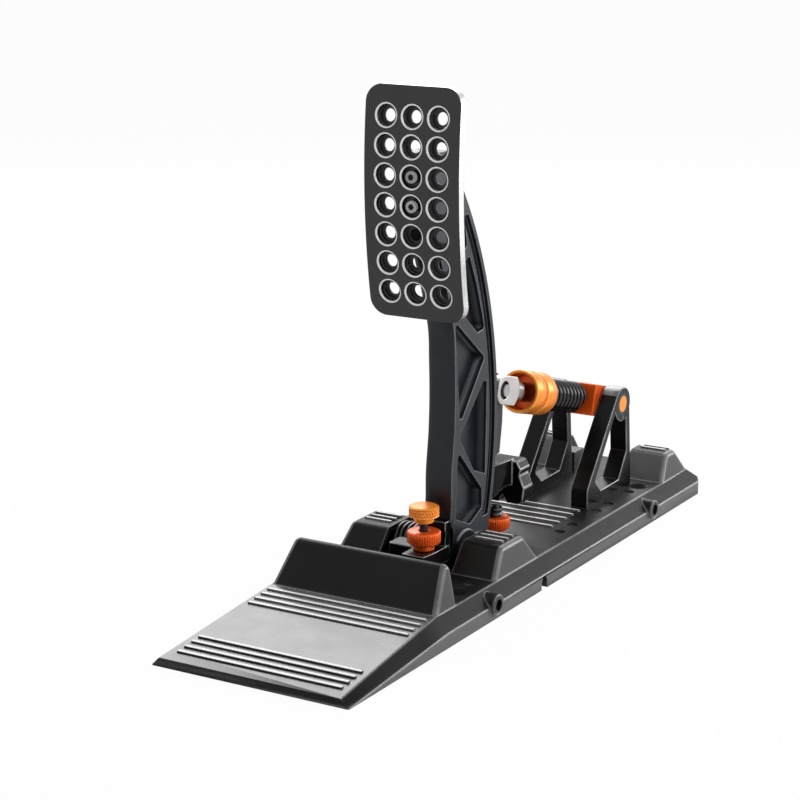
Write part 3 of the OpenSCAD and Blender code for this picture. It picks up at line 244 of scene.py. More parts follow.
looks = {
    "moulded": {
        "texture": "grain", "textureValues": {"Scale": 1500.0, "Detail": 3.0},
        "colour": (0.0055, 0.0055, 0.006), "drift": (0.009, 0.009, 0.0095), "rough": (0.32, 0.44),
        "edgeLight": {"Radius": 0.0028, "Gain": 2.6}, "edgeLightColour": (0.26, 0.26, 0.262),
        "bump": 0.30, "depth": 0.00014, "fixed": {"Specular IOR Level": 0.13},
    },
    # lighter copy of the moulding for the broken edges, a painted highlight
    "mouldedEdgeHighlight": {
        "texture": "grain", "textureValues": {"Scale": 1500.0, "Detail": 3.0},
        "colour": (0.055, 0.055, 0.0555), "drift": (0.16, 0.16, 0.161), "rough": (0.28, 0.40),
        "bump": 0.25, "depth": 0.00014, "fixed": {"Specular IOR Level": 0.45},
    },
    # lighter copy of the arm's finish for its broken edges, a painted highlight
    "armEdgeHighlight": {
        "texture": "grain", "textureValues": {"Scale": 2200.0, "Detail": 2.0},
        "colour": (0.075, 0.08, 0.098), "drift": (0.17, 0.175, 0.20), "rough": (0.24, 0.34),
        "bump": 0.10, "depth": 0.0001, "fixed": {"Metallic": 0.3, "Specular IOR Level": 0.5},
    },
    # lighter copy of the frames' finish for broken edges and the uprights' tops, a painted highlight
    "frameHighlight": {
        "texture": "grain", "textureValues": {"Scale": 2400.0, "Detail": 2.0},
        "colour": (0.09, 0.09, 0.092), "drift": (0.25, 0.25, 0.254), "rough": (0.20, 0.30),
        "bump": 0.06, "depth": 0.0001, "fixed": {"Metallic": 0.4, "Specular IOR Level": 0.5},
    },
    # lighter copy of the moulding for the outer side walls, painted light
    "litWallDim": {
        "texture": "grain", "textureValues": {"Scale": 1300.0, "Detail": 4.0},
        "colour": (0.024, 0.024, 0.0245), "drift": (0.046, 0.046, 0.0465), "rough": (0.42, 0.54),
        "edgeLight": {"Radius": 0.0028, "Gain": 2.6}, "edgeLightColour": (0.28, 0.28, 0.282),
        "bump": 0.45, "depth": 0.00018, "fixed": {"Specular IOR Level": 0.3},
    },
    # paler copy of the moulding for the lower skirt and the rear humps' fronts, painted light
    "skirt": {
        "texture": "grain", "textureValues": {"Scale": 1300.0, "Detail": 4.0},
        "colour": (0.060, 0.060, 0.0605), "drift": (0.10, 0.10, 0.1005), "rough": (0.40, 0.52),
        "edgeLight": {"Radius": 0.0022, "Gain": 2.0}, "edgeLightColour": (0.28, 0.28, 0.282),
        "bump": 0.45, "depth": 0.00018, "fixed": {"Specular IOR Level": 0.4},
    },
    # lighter copy of the moulding on the foot plate's top, a painted sheen
    "footSheen": {
        "texture": "grain", "textureValues": {"Scale": 1700.0, "Detail": 2.0},
        "colour": (0.030, 0.030, 0.030), "drift": (0.042, 0.042, 0.042), "rough": (0.24, 0.32),
        "edgeLight": {"Radius": 0.0010, "Gain": 1.6}, "edgeLightColour": (0.12, 0.12, 0.12),
        "bump": 0.10, "depth": 0.0001, "fixed": {"Specular IOR Level": 0.6},
    },
    # painted highlight on the ribs' crowns, far lighter than the moulding itself
    "crown": {
        "texture": "grain", "textureValues": {"Scale": 1400.0, "Detail": 3.0},
        "colour": (0.66, 0.66, 0.655), "drift": (0.84, 0.84, 0.835), "rough": (0.28, 0.40),
        "bump": 0.12, "depth": 0.0001,
    },
    "arm": {
        "texture": "grain", "textureValues": {"Scale": 2200.0, "Detail": 2.0},
        "colour": (0.011, 0.0125, 0.018), "drift": (0.016, 0.018, 0.0255), "rough": (0.26, 0.36),
        "edgeLight": {"Radius": 0.0012, "Gain": 2.6}, "edgeLightColour": (0.20, 0.20, 0.22),
        "bump": 0.10, "depth": 0.0001, "fixed": {"Metallic": 0.25, "Specular IOR Level": 0.3},
    },
    "plate": {
        "texture": "grain", "textureValues": {"Scale": 2600.0, "Detail": 2.0},
        "colour": (0.022, 0.022, 0.0225), "drift": (0.030, 0.030, 0.0305), "rough": (0.40, 0.50),
        "bump": 0.22, "depth": 0.0001, "fixed": {"Specular IOR Level": 0.4},
    },
    "frames": {
        "texture": "grain", "textureValues": {"Scale": 2400.0, "Detail": 2.0},
        "colour": (0.0035, 0.0035, 0.004), "drift": (0.006, 0.006, 0.0065), "rough": (0.20, 0.30),
        "edgeLight": {"Radius": 0.0007, "Gain": 3.0}, "edgeLightColour": (0.30, 0.30, 0.31),
        "bump": 0.06, "depth": 0.0001, "fixed": {"Specular IOR Level": 0.13},
    },
    "stopBlack": {
        "texture": "grain", "textureValues": {"Scale": 2000.0, "Detail": 2.0},
        "colour": (0.003, 0.003, 0.0034), "drift": (0.005, 0.005, 0.0055), "rough": (0.14, 0.24),
        "bump": 0.06, "depth": 0.0001, "fixed": {"Specular IOR Level": 0.04},
    },
    "gloss": {
        "texture": "grain", "textureValues": {"Scale": 1200.0, "Detail": 2.0},
        "colour": (0.004, 0.004, 0.0045), "drift": (0.007, 0.007, 0.0075), "rough": (0.12, 0.20),
        "bump": 0.04, "depth": 0.0001, "fixed": {"Specular IOR Level": 0.5},
    },
    "orange": {
        "texture": "streaks", "textureValues": {"Scale": 900.0, "Pull": 0.5},
        "colour": (0.90, 0.225, 0.012), "drift": (0.97, 0.285, 0.020), "rough": (0.26, 0.36),
        "edgeLight": {"Radius": 0.0006, "Gain": 2.6}, "edgeLightColour": (1.0, 0.60, 0.20),
        "bump": 0.05, "depth": 0.0001, "fixed": {"Metallic": 0.3, "Specular IOR Level": 0.3},
    },
    # lighter copy of the orange for chamfers, a painted highlight
    "orangeHighlight": {
        "texture": "streaks", "textureValues": {"Scale": 900.0, "Pull": 0.5},
        "colour": (1.0, 0.40, 0.06), "drift": (1.0, 0.52, 0.12), "rough": (0.20, 0.30),
        "bump": 0.05, "depth": 0.0001, "fixed": {"Metallic": 0.3, "Specular IOR Level": 0.5},
    },
    "redOrange": {
        "texture": "streaks", "textureValues": {"Scale": 900.0, "Pull": 0.5},
        "colour": (0.78, 0.095, 0.007), "drift": (0.88, 0.125, 0.011), "rough": (0.22, 0.32),
        "edgeLight": {"Radius": 0.0005, "Gain": 2.4}, "edgeLightColour": (1.0, 0.38, 0.10),
        "bump": 0.05, "depth": 0.0001, "fixed": {"Metallic": 0.35, "Specular IOR Level": 0.3},
    },
    "silver": {
        "texture": "streaks", "textureValues": {"Scale": 1400.0, "Pull": 0.1},
        "colour": (0.48, 0.48, 0.477), "drift": (0.58, 0.58, 0.577), "rough": (0.24, 0.36),
        "bump": 0.05, "depth": 0.0001, "fixed": {"Metallic": 1.0},
    },
    "ringBright": {
        "texture": "streaks", "textureValues": {"Scale": 1400.0, "Pull": 0.3},
        "colour": (0.90, 0.90, 0.895), "drift": (0.96, 0.96, 0.955), "rough": (0.26, 0.36),
        "bump": 0.05, "depth": 0.0001, "fixed": {"Metallic": 0.2},
    },
    "clevis": {
        "texture": "streaks", "textureValues": {"Scale": 1500.0, "Pull": 0.15},
        "colour": (0.40, 0.38, 0.37), "drift": (0.50, 0.48, 0.47), "rough": (0.32, 0.42),
        "edgeLight": {"Radius": 0.0006, "Gain": 1.8}, "edgeLightColour": (0.80, 0.79, 0.78),
        "bump": 0.08, "depth": 0.0001, "fixed": {"Metallic": 0.8},
    },
    "greySteel": {
        "texture": "streaks", "textureValues": {"Scale": 1500.0, "Pull": 0.2},
        "colour": (0.25, 0.25, 0.254), "drift": (0.36, 0.36, 0.365), "rough": (0.26, 0.36),
        "edgeLight": {"Radius": 0.0004, "Gain": 1.8}, "edgeLightColour": (0.55, 0.55, 0.56),
        "bump": 0.06, "depth": 0.0001, "fixed": {"Metallic": 0.85},
    },
    "darkSteel": {
        "texture": "streaks", "textureValues": {"Scale": 1500.0, "Pull": 0.2},
        "colour": (0.022, 0.022, 0.024), "drift": (0.038, 0.038, 0.041), "rough": (0.26, 0.38),
        "edgeLight": {"Radius": 0.0004, "Gain": 1.5}, "edgeLightColour": (0.26, 0.26, 0.27),
        "bump": 0.06, "depth": 0.0001, "fixed": {"Metallic": 0.7},
    },
    "rodSteel": {
        "texture": "streaks", "textureValues": {"Scale": 1600.0, "Pull": 0.3},
        "colour": (0.20, 0.19, 0.185), "drift": (0.28, 0.27, 0.265), "rough": (0.16, 0.28),
        "bump": 0.05, "depth": 0.0001, "fixed": {"Metallic": 1.0},
    },
    "rubber": {
        "texture": "grain", "textureValues": {"Scale": 1800.0, "Detail": 3.0},
        "colour": (0.007, 0.007, 0.007), "drift": (0.011, 0.011, 0.011), "rough": (0.24, 0.38),
        "bump": 0.10, "depth": 0.0001, "fixed": {"Specular IOR Level": 0.35},
    },
    "bronze": {
        "texture": "grain", "textureValues": {"Scale": 3000.0, "Detail": 4.0},
        "colour": (0.10, 0.075, 0.05), "drift": (0.15, 0.11, 0.07), "rough": (0.36, 0.50),
        "bump": 0.12, "depth": 0.0001, "fixed": {"Metallic": 0.8},
    },
    "board": {
        "texture": "grain", "textureValues": {"Scale": 2500.0, "Detail": 2.0},
        "colour": (0.012, 0.075, 0.035), "drift": (0.02, 0.11, 0.05), "rough": (0.22, 0.34),
        "bump": 0.06, "depth": 0.0001,
    },
}
finishes = {name: finish(name, look) for name, look in looks.items()}
print("finishes made:", len(finishes))


def newPiece(name, mesh, materials, body):
    piece = bpy.data.objects.new(name, mesh)
    scene.collection.objects.link(piece)
    for key in materials:
        mesh.materials.append(finishes[key])
    if body:
        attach(piece, body)
    return piece


# how a CAD mesh is cleaned and its edges are broken, angles in degrees
edgeWork = {"weld": 2e-6, "flat": 0.4, "sharp": 28, "faceWeight": 80}


def flatten(name):
    # the CAD mesh as clean faces: seams closed, flat parts joined
    bm = bmesh.new()
    bm.from_mesh(nodes[name].data)
    for layer in list(bm.loops.layers.uv.values()):
        bm.loops.layers.uv.remove(layer)
    bmesh.ops.remove_doubles(bm, verts=bm.verts[:], dist=edgeWork["weld"])
    bmesh.ops.dissolve_limit(bm, angle_limit=math.radians(edgeWork["flat"]), use_dissolve_boundaries=False,
                             verts=bm.verts[:], edges=bm.edges[:])
    return bm


def softened(name, piece):
    # a moulded or machined copy of a CAD piece, with its edges broken
    bm = flatten(piece["node"])
    if "shape" in piece:
        piece["shape"](bm)
        bm.normal_update()
    weights = bm.edges.layers.float.new("bevel_weight_edge")
    widest = piece["width"]
    for edge in bm.edges:
        if len(edge.link_faces) != 2:
            continue
        turn = edge.calc_face_angle_signed(0)
        if abs(turn) < math.radians(edgeWork["sharp"]):
            continue
        middle = (edge.verts[0].co + edge.verts[1].co) / 2 / mm
        edge[weights] = min(1.0, piece["edges"](middle, edge, turn) / widest)
    if "paint" in piece:
        for face in bm.faces:
            face.material_index = piece["paint"](face.calc_center_median() / mm, face.normal)
    mesh = bpy.data.meshes.new(name)
    bm.to_mesh(mesh)
    bm.free()
    for extra in [a.name for a in mesh.attributes if a.name.startswith("custom_normal")]:
        mesh.attributes.remove(mesh.attributes[extra])
    for face in mesh.polygons:
        face.use_smooth = True
    obj = newPiece(name, mesh, piece["materials"], piece["body"])
    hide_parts(piece["node"])
    bevel = obj.modifiers.new("brokenEdges", "BEVEL")
    bevel.limit_method = "WEIGHT"
    bevel.width = widest * mm
    bevel.segments = piece.get("segments", 3)
    bevel.use_clamp_overlap = False
    bevel.material = piece.get("edgeMaterial", -1)
    bevel.miter_outer = "MITER_ARC"
    flats = obj.modifiers.new("flatFaces", "WEIGHTED_NORMAL")
    flats.keep_sharp = False
    flats.weight = edgeWork["faceWeight"]
    return obj


# base tray
tray = {
    "node": "base_tray", "body": "base", "slot": "moulded_black",
    "materials": ["moulded", "footSheen", "crown", "litWallDim", "skirt", "mouldedEdgeHighlight"],
    # the broken edges take a lighter copy of the finish, a painted highlight
    "edgeMaterial": 5, "width": 2.6, "segments": 4,
    "front": -218.5, "lip": 4.9, "footLength": 100.0, "deck": 16.0, "humpTop": 31.6, "rib": 0.9,
    "hollow": (50.2, 13.2), "wallX": 51.0, "humpX": 45.5, "skirtTop": 8.1, "rearHumps": 160.0,
    "notch": {"y": -7.5, "half": 5.0, "top": 7.9}, "holeStep": 1.6, "frontBare": 2.5,
    "breaks": {"notch": 0.2, "humpEdge": 2.6, "humpFoot": 0.6, "wall": 0.8, "other": 0.3},
    "lastRib": (196.9, 199.1), "lean": {"front": (0, -0.35), "rear": (-0.7, -1.15), "foot": (-0.95, 0)},
}
tray["footSlope"] = (tray["deck"] - tray["lip"]) / tray["footLength"]


def aboveFoot(p):
    # height over the sloping foot plate
    return p.z - tray["lip"] - tray["footSlope"] * (p.y - tray["front"])


def trayEdges(p, edge, turn):
    # none underneath, on the front lip or round the deck's holes, wide ones on the humps
    breaks, notch = tray["breaks"], tray["notch"]
    halfWidth, ceiling = tray["hollow"]
    underneath = p.z < 0.3 or (abs(p.x) < halfWidth and p.z < ceiling)
    atHole = abs(p.z - tray["deck"]) < 0.05 and edge.calc_length() < tray["holeStep"] * mm
    if underneath or atHole or p.y < tray["front"] + tray["frontBare"]:
        return 0
    if abs(p.y - notch["y"]) < notch["half"] and p.z < notch["top"]:
        return breaks["notch"]
    overDeck = p.z > tray["deck"] + 0.3
    if overDeck and abs(p.x) > tray["humpX"]:
        return breaks["humpEdge"] if turn > 0 else breaks["humpFoot"]
    if turn > 0 and abs(p.x) > tray["wallX"] and not overDeck:
        return breaks["wall"]
    return breaks["other"]


def leanRibs(bm):
    # the last rib on each rear hump follows the hump's rounded edge
    first, last = tray["lastRib"]
    for vert in bm.verts:
        p = vert.co / mm
        if p.z < tray["humpTop"] - 1.1 or abs(p.x) > tray["humpX"] + 0.5:
            continue
        crown = p.z > tray["humpTop"] + 0.5
        if abs(p.y - last) < 0.05:
            move = tray["lean"]["rear" if crown else "foot"]
        elif abs(p.y - first) < 0.05 and crown:
            move = tray["lean"]["front"]
        else:
            continue
        vert.co += Vector((0, *move)) * mm


def trayKind(p, normal):
    # painted highlight on the ribs' crowns, painted light on the fronts of the rear humps, painted sheen on
    # the top of the foot plate, then painted light on the outer walls
    if normal.z > 0.8 and p.y > tray["lastRib"][0] and p.z > tray["humpTop"] - 0.1:
        return "crown"
    if normal.y < -0.5 and p.y > tray["rearHumps"] and p.z > tray["deck"]:
        return "skirt"
    if normal.z > 0.9 and p.y < tray["front"] + tray["footLength"]:
        rise = aboveFoot(p)
        if 0.5 < rise / tray["rib"] < 1.5:
            return "crown"
        return "footSheen" if abs(rise) < 0.3 else "moulded"
    if normal.z > 0.9:
        offRib = min(abs(p.z - tray[key] - tray["rib"]) for key in ("deck", "humpTop"))
        return "crown" if offRib < 0.1 else "moulded"
    if abs(normal.x) > 0.85 and abs(p.x) > tray["humpX"] + 0.5:
        return "skirt" if p.z < tray["skirtTop"] else "litWallDim"
    return "moulded"


def trayPaint(p, normal):
    return tray["materials"].index(trayKind(p, normal))


tray["edges"] = trayEdges
tray["paint"] = trayPaint
tray["shape"] = leanRibs
softened("moulded_base", tray)
print("base done")

# swinging arm
arm = {
    "node": "pedal_arm", "body": "pedal", "slot": "arm_navy", "materials": ["arm", "armEdgeHighlight"],
    # the broken edges take a lighter copy of the finish, a painted highlight
    "edgeMaterial": 1, "width": 1.2, "segments": 3,
    "chamferSide": 1.7, "chamferFront": 3.8, "chamferSpan": (36.0, 214.0), "frontBefore": -35.0,
    "rearCentre": (-227.0, 93.2), "rearRadius": 237.6,
    "wider": ((12.5, 11.3), (16.0, 12.0), (24.0, 24.0)), "widerSpan": (40.0, 124.0),
    "footTop": 42.0, "hubTop": 34.0, "rimDepth": 9.8, "frontDepth": 2.3,
    "breaks": {"hub": 0.4, "rim": 0.2, "front": 0.3, "pocket": 0.35},
}


def fromRear(p):
    return arm["rearRadius"] - math.hypot(p.y - arm["rearCentre"][0], p.z - arm["rearCentre"][1])


def widenPockets(bm):
    # the pockets' rear walls move out towards the rim groove
    centre = Vector((0, *arm["rearCentre"]))
    for vert in bm.verts:
        p = vert.co / mm
        if not arm["widerSpan"][0] < p.z < arm["widerSpan"][1]:
            continue
        depth = fromRear(p)
        for (a, newA), (b, newB) in zip(arm["wider"], arm["wider"][1:]):
            if a < depth <= b:
                moved = newA + (depth - a) * (newB - newA) / (b - a)
                out = (Vector((0, p.y, p.z)) - centre).normalized()
                vert.co += out * (depth - moved) * mm
                break


def armShape(bm):
    widenPockets(bm)
    # wide chamfers along the front face, cut while the mesh is squeezed,
    # so that they run further across than back
    squeeze = arm["chamferSide"] / arm["chamferFront"]
    middle = Matrix.Translation((layout["armX"] * mm, 0, 0))
    narrow = middle @ Matrix.Diagonal((squeeze, 1, 1, 1)) @ middle.inverted()
    low, high = arm["chamferSpan"]
    chosen = []
    for edge in bm.edges:
        if len(edge.link_faces) != 2:
            continue
        z = (edge.verts[0].co.z + edge.verts[1].co.z) / 2 / mm
        kinds = sorted(abs(face.normal.x) for face in edge.link_faces)
        facing = min(face.normal.y for face in edge.link_faces)
        outer = edge.verts[0].co.y / mm < arm["frontBefore"] and edge.calc_face_angle_signed(0) > 1
        if low < z < high and kinds[0] < 0.1 and kinds[1] > 0.95 and facing < -0.75 and outer:
            chosen.append(edge)
    arm["frontLine"] = sorted((vert.co.z / mm, vert.co.y / mm) for edge in chosen for vert in edge.verts)
    bm.transform(narrow)
    bmesh.ops.bevel(bm, geom=chosen, offset=arm["chamferSide"] * mm, segments=1, affect="EDGES",
                    clamp_overlap=False)
    bm.transform(narrow.inverted())
    print("arm chamfers:", len(chosen))


def armEdges(p, edge, turn):
    # none on the front foot, across the arm or inside the pockets' corners
    breaks = arm["breaks"]
    run = edge.verts[1].co - edge.verts[0].co
    if p.z < arm["footTop"] and p.y < arm["frontBefore"]:
        return 0
    if p.z < arm["hubTop"]:
        return breaks["hub"]
    if abs(run.x) > 0.9 * run.length:
        return 0
    if fromRear(p) < arm["rimDepth"]:
        return breaks["rim"]
    nearest = min(arm["frontLine"], key=lambda item: abs(item[0] - p.z))
    if p.y - nearest[1] < arm["frontDepth"]:
        return breaks["front"]
    return breaks["pocket"] if turn > 0 else 0


arm["edges"] = armEdges
arm["shape"] = armShape
softened("swing_arm", arm)
print("arm done")

# curved plate, its rim and the rings round its holes machined bright
plate = {
    "node": "pedal_plate", "body": "pedal", "slot": "plate_black",
    "materials": ["plate", "silver", "rubber"], "edgeMaterial": 0, "width": 0.5, "segments": 2,
    "faceY": -74.4, "axisZ": 241.0, "radius": 390.0, "thickness": 6.0,
    "rowZ": 224.0, "pitch": 15.9, "holesX": 22.8, "holesZ": (169.0, 279.0),
}
plate["axis"] = (plate["faceY"] + plate["radius"], plate["axisZ"])


def onRim(p):
    low, high = plate["holesZ"]
    return abs(p.x - layout["armX"]) > plate["holesX"] or p.z > high or p.z < low


def plateEdges(p, edge, turn):
    return plate["width"] if onRim(p) else 0


def platePaint(p, normal):
    # the rim's walls are machined silver; the hole walls and counterbore floors take black as painted shade
    out = Vector((0, p.y - plate["axis"][0], p.z - plate["axis"][1])).normalized()
    if abs(normal.dot(out)) < 0.3:
        return 1 if onRim(p) else 2
    depth = plate["radius"] - math.hypot(p.y - plate["axis"][0], p.z - plate["axis"][1])
    return 2 if 0.4 < depth < plate["thickness"] - 0.5 and not onRim(p) else 0


plate["edges"] = plateEdges
plate["paint"] = platePaint
softened("drilled_plate", plate)


def rowFrame(j):
    # middle of a row of holes on the plate's face, and the way out of it
    lean = math.asin((plate["rowZ"] + j * plate["pitch"] - plate["axis"][1]) / plate["radius"])
    out = Vector((0, -math.cos(lean), math.sin(lean)))
    return Vector((layout["armX"], *plate["axis"])) + out * plate["radius"], out


holeRing = {
    "section": ((6.85, 0.0), (6.72, 0.07), (6.5, 0.05), (5.98, -0.45), (5.92, -0.75), (6.3, -0.95),
                (6.85, -0.4)),
    "around": 56, "rows": range(-3, 4), "columns": (-1, 0, 1), "sharp": 40,
}


def holeRings():
    # bright machined rings, one round each hole
    bm = bmesh.new()
    across = Vector((1, 0, 0))
    for j in holeRing["rows"]:
        middle, out = rowFrame(j)
        along = out.cross(across)
        for i in holeRing["columns"]:
            centre = middle + across * i * plate["pitch"]
            loops = []
            for k in range(holeRing["around"]):
                a = 2 * math.pi * k / holeRing["around"]
                ray = across * math.cos(a) + along * math.sin(a)
                points = [centre + ray * r + out * h for r, h in holeRing["section"]]
                loops.append([bm.verts.new(point * mm) for point in points])
            count = len(holeRing["section"])
            for k, loop in enumerate(loops):
                after = loops[(k + 1) % holeRing["around"]]
                for n in range(count):
                    m = (n + 1) % count
                    bm.faces.new((loop[n], loop[m], after[m], after[n])).smooth = True
    bmesh.ops.recalc_face_normals(bm, faces=bm.faces[:])
    mesh = bpy.data.meshes.new("hole_rings")
    bm.to_mesh(mesh)
    bm.free()
    mesh.set_sharp_from_angle(angle=math.radians(holeRing["sharp"]))
    newPiece("hole_rings", mesh, ["ringBright"], "pedal")


holeRings()

# plate screws, with painted shade inside their hexagon sockets
plateScrews = {
    "node": "plate_screws", "body": "pedal", "slot": "black_steel", "materials": ["greySteel", "frames"],
    "width": 0.3, "segments": 2, "edges": lambda p, edge, turn: 0,
    "socket": 1.95, "socketDepth": (0.3, 2.3),
}


# socket faces take the black finish as painted shade
def screwPaint(p, normal):
    middle, out = rowFrame(0 if p.z < plate["rowZ"] + plate["pitch"] / 2 else 1)
    off = p - middle
    depth = -off.dot(out)
    low, high = plateScrews["socketDepth"]
    return 1 if (off + out * depth).length < plateScrews["socket"] and low < depth < high else 0


plateScrews["paint"] = screwPaint
softened("plate_bolts", plateScrews)
print("plate done")

# spring unit's uprights and the machined blocks
fork = {"neckFrom": 18.9, "recess": 5.4, "recessX": (5.0, 8.45)}
uprights = {"pinRound": 7.5, "topFacing": 0.6}


def forkPaint(p, normal):
    # painted shade: darker neck, black recess round the pin
    away = Vector((0, p.y - layout["clevis"][0], p.z - layout["clevis"][1]))
    if away.dot(strutAxis) > fork["neckFrom"]:
        return 1
    low, high = fork["recessX"]
    return 2 if away.length < fork["recess"] and low < p.x - layout["armX"] < high else 0


def offPin(p):
    # all edges but those of the pin's hole
    return math.hypot(p.y - layout["trunnion"][0], p.z - layout["trunnion"][1]) > uprights["pinRound"]


def topPaint(p, normal):
    # painted highlight on the uprights' rounded tops
    return 1 if normal.z > uprights["topFacing"] and p.z > layout["trunnion"][1] else 0


def blockEdges(block):
    # the block's width on each edge that its own test lets through
    broken = block.get("broken")
    return lambda p, edge, turn: block["width"] if broken is None or broken(p) else 0


blocks = [
    ("upright_right", {"node": "a_frame_right", "body": "base", "slot": "frame_black", "width": 0.6,
                       "broken": offPin, "paint": topPaint}),
    ("upright_left", {"node": "a_frame_left", "body": "base", "slot": "frame_black", "width": 0.6,
                      "broken": offPin, "paint": topPaint}),
    ("travel_stop_block", {"node": "stop_block", "body": "pedal", "slot": "frame_black", "width": 0.8,
                           "materials": ["stopBlack", "frameHighlight"],
                           "broken": lambda p: p.y > 12}),  # its free end
    ("toe_tongue", {"node": "toe_plate", "body": "pedal", "slot": "frame_black", "width": 0.5,
                    "broken": lambda p: p.y < -46}),  # its free end
    ("spring_block", {"node": "trunnion_block", "body": "trunnion", "slot": "orange_anodised", "width": 0.7,
                      "materials": ["redOrange"]}),
    ("rod_fork", {"node": "rod_clevis", "body": "rod", "slot": "clear_aluminium", "width": 0.6,
                  "materials": ["clevis", "rodSteel", "rubber"], "paint": forkPaint}),
    ("lead_socket", {"node": "cable_socket", "body": "base", "slot": "bush_black", "width": 0.4,
                     "materials": ["rubber"]}),
]
for name, block in blocks:
    block.setdefault("materials", ["frames", "frameHighlight"])
    # the framed blocks' broken edges take the lighter frame finish, a painted highlight
    if block["slot"] == "frame_black":
        block["edgeMaterial"] = 1
    block["edges"] = blockEdges(block)
    softened(name, block)
print("blocks done")


# turned pieces
turning = {"weld": 1e-7, "sharp": 38}


def lathe(name, rows, around, place, spin, body, materials, replaced):
    # each row is a radius at every angle, a height and a finish
    # place is the middle of the base, spin turns +Z to the piece's axis
    bm = bmesh.new()
    rings = []
    for radiusAt, height, index in rows:
        ring = []
        for i in range(around):
            a = 2 * math.pi * i / around
            r = radiusAt(a)
            ring.append(bm.verts.new((r * math.cos(a) * mm, r * math.sin(a) * mm, height * mm)))
        rings.append((ring, index))
    for (low, _), (high, index) in zip(rings, rings[1:]):
        for i in range(around):
            j = (i + 1) % around
            face = bm.faces.new((low[i], low[j], high[j], high[i]))
            face.material_index = index
            face.smooth = True
    bmesh.ops.remove_doubles(bm, verts=bm.verts[:], dist=turning["weld"])
    bmesh.ops.recalc_face_normals(bm, faces=bm.faces[:])
    mesh = bpy.data.meshes.new(name)
    bm.to_mesh(mesh)
    bm.free()
    mesh.transform(Matrix.Translation(place) @ spin.to_4x4())
    mesh.set_sharp_from_angle(angle=math.radians(turning["sharp"]))
    obj = newPiece(name, mesh, materials, body)
    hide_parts(*replaced)
    return obj


def plain(radius):
    return lambda a: radius


def turned(shape, kinds=None):
    # rows of a plain turned outline; kinds gives the finish of the band that ends at a row
    kinds = kinds or {}
    return [(plain(radius), height, kinds.get(n, 0)) for n, (radius, height) in enumerate(shape)]


upright = Matrix.Identity(3)
alongStrut = Vector((0, 0, 1)).rotation_difference(strutAxis).to_matrix()

# thumb knob with a diamond knurl
knob = {
    "bottom": 45.5, "radius": 8.5, "neck": 5.6, "bore": 2.52, "boreDepth": 6.6, "grip": (3.8, 8.8),
    "diamonds": 30, "depth": 0.45, "pitch": 1.75, "around": 420, "bands": 30,
}


def diamond(height, fade):
    def radiusAt(a):
        u = knob["diamonds"] * a / (2 * math.pi)
        v = height / knob["pitch"] / 2
        ridge = min(abs((u + v) % 1 - 0.5), abs((u - v) % 1 - 0.5)) * 2
        return knob["radius"] - knob["depth"] * (1 - min(1.0, ridge * 1.5)) * fade
    return radiusAt


def knobRows():
    r, neck, bore, deep = knob["radius"], knob["neck"], knob["bore"], knob["boreDepth"]
    low, high = knob["grip"]
    rows = turned([(0, deep), (bore, deep), (bore, 0.0), (neck - 0.4, 0.0), (neck, 0.4), (neck, 2.6),
                   (neck + 0.5, 3.0), (r - 0.9, 3.35), (r - 0.45, 3.6)])
    for i in range(knob["bands"] + 1):
        t = i / knob["bands"]
        height = low + t * (high - low)
        rows.append((diamond(height, min(1.0, 6 * t + 0.2, 6 * (1 - t) + 0.2)), height, 0))
    return rows + turned([(r - 0.25, high + 0.12), (r - 0.9, high + 0.62), (r - 1.2, high + 0.76),
                          (r - 1.6, high + 0.8), (0, high + 0.8)])


knobPlace = Vector((layout["armX"], layout["frontY"], knob["bottom"])) * mm
lathe("thumb_knob", knobRows(), knob["around"], knobPlace, upright, "front_adjuster",
      ["orange"], ["front_knob"])

# lock nuts with a straight knurl
nut = {
    "radius": 9.5, "collar": 6.0, "collarHeight": 3.6, "height": 10.8, "bore": 2.56,
    "flutes": 40, "depth": 0.5, "share": 0.45, "around": 400,
}


def fluted(fade, inset):
    def radiusAt(a):
        u = abs((nut["flutes"] * a / (2 * math.pi)) % 1 - 0.5) * 2
        groove = max(0.0, 1 - u / nut["share"])
        return nut["radius"] - inset - nut["depth"] * groove * fade
    return radiusAt


def nutRows():
    r, collar, bore = nut["radius"], nut["collar"], nut["bore"]
    low, high = nut["collarHeight"], nut["height"]
    rows = turned([(bore, 0.0), (collar - 0.4, 0.0), (collar, 0.4), (collar, low - 0.02),
                   (collar + 0.3, low), (r - 1.1, low)])
    grip = ((0.2, 0.75, low + 0.2), (0.7, 0.3, low + 0.55), (1.0, 0.0, low + 0.9),
            (1.0, 0.0, (low + high) / 2), (1.0, 0.0, high - 0.95), (0.7, 0.25, high - 0.55),
            (0.2, 0.7, high - 0.2))
    rows += [(fluted(fade, inset), height, 0) for fade, inset, height in grip]
    return rows + turned([(r - 1.15, high), (bore + 0.8, high), (bore + 0.2, high - 0.5),
                          (bore, high - 0.8), (bore, 0.0)])


nuts = (
    ("front_locking_nut", layout["frontY"], 29.7, "front_nut", "front_lock_nut"),
    ("rear_locking_nut", layout["rearY"], 16.2, "rear_nut", "rear_lock_nut"),
)
for label, y, z, body, node in nuts:
    place = Vector((layout["armX"], y, z)) * mm
    lathe(label, nutRows(), nut["around"], place, upright, body, ["redOrange"], [node])

# rubber stop with a dished top
stop = {"bottom": 27.4, "radius": 5.1, "height": 5.5, "bore": 2.56, "boreDepth": 2.5, "around": 72}


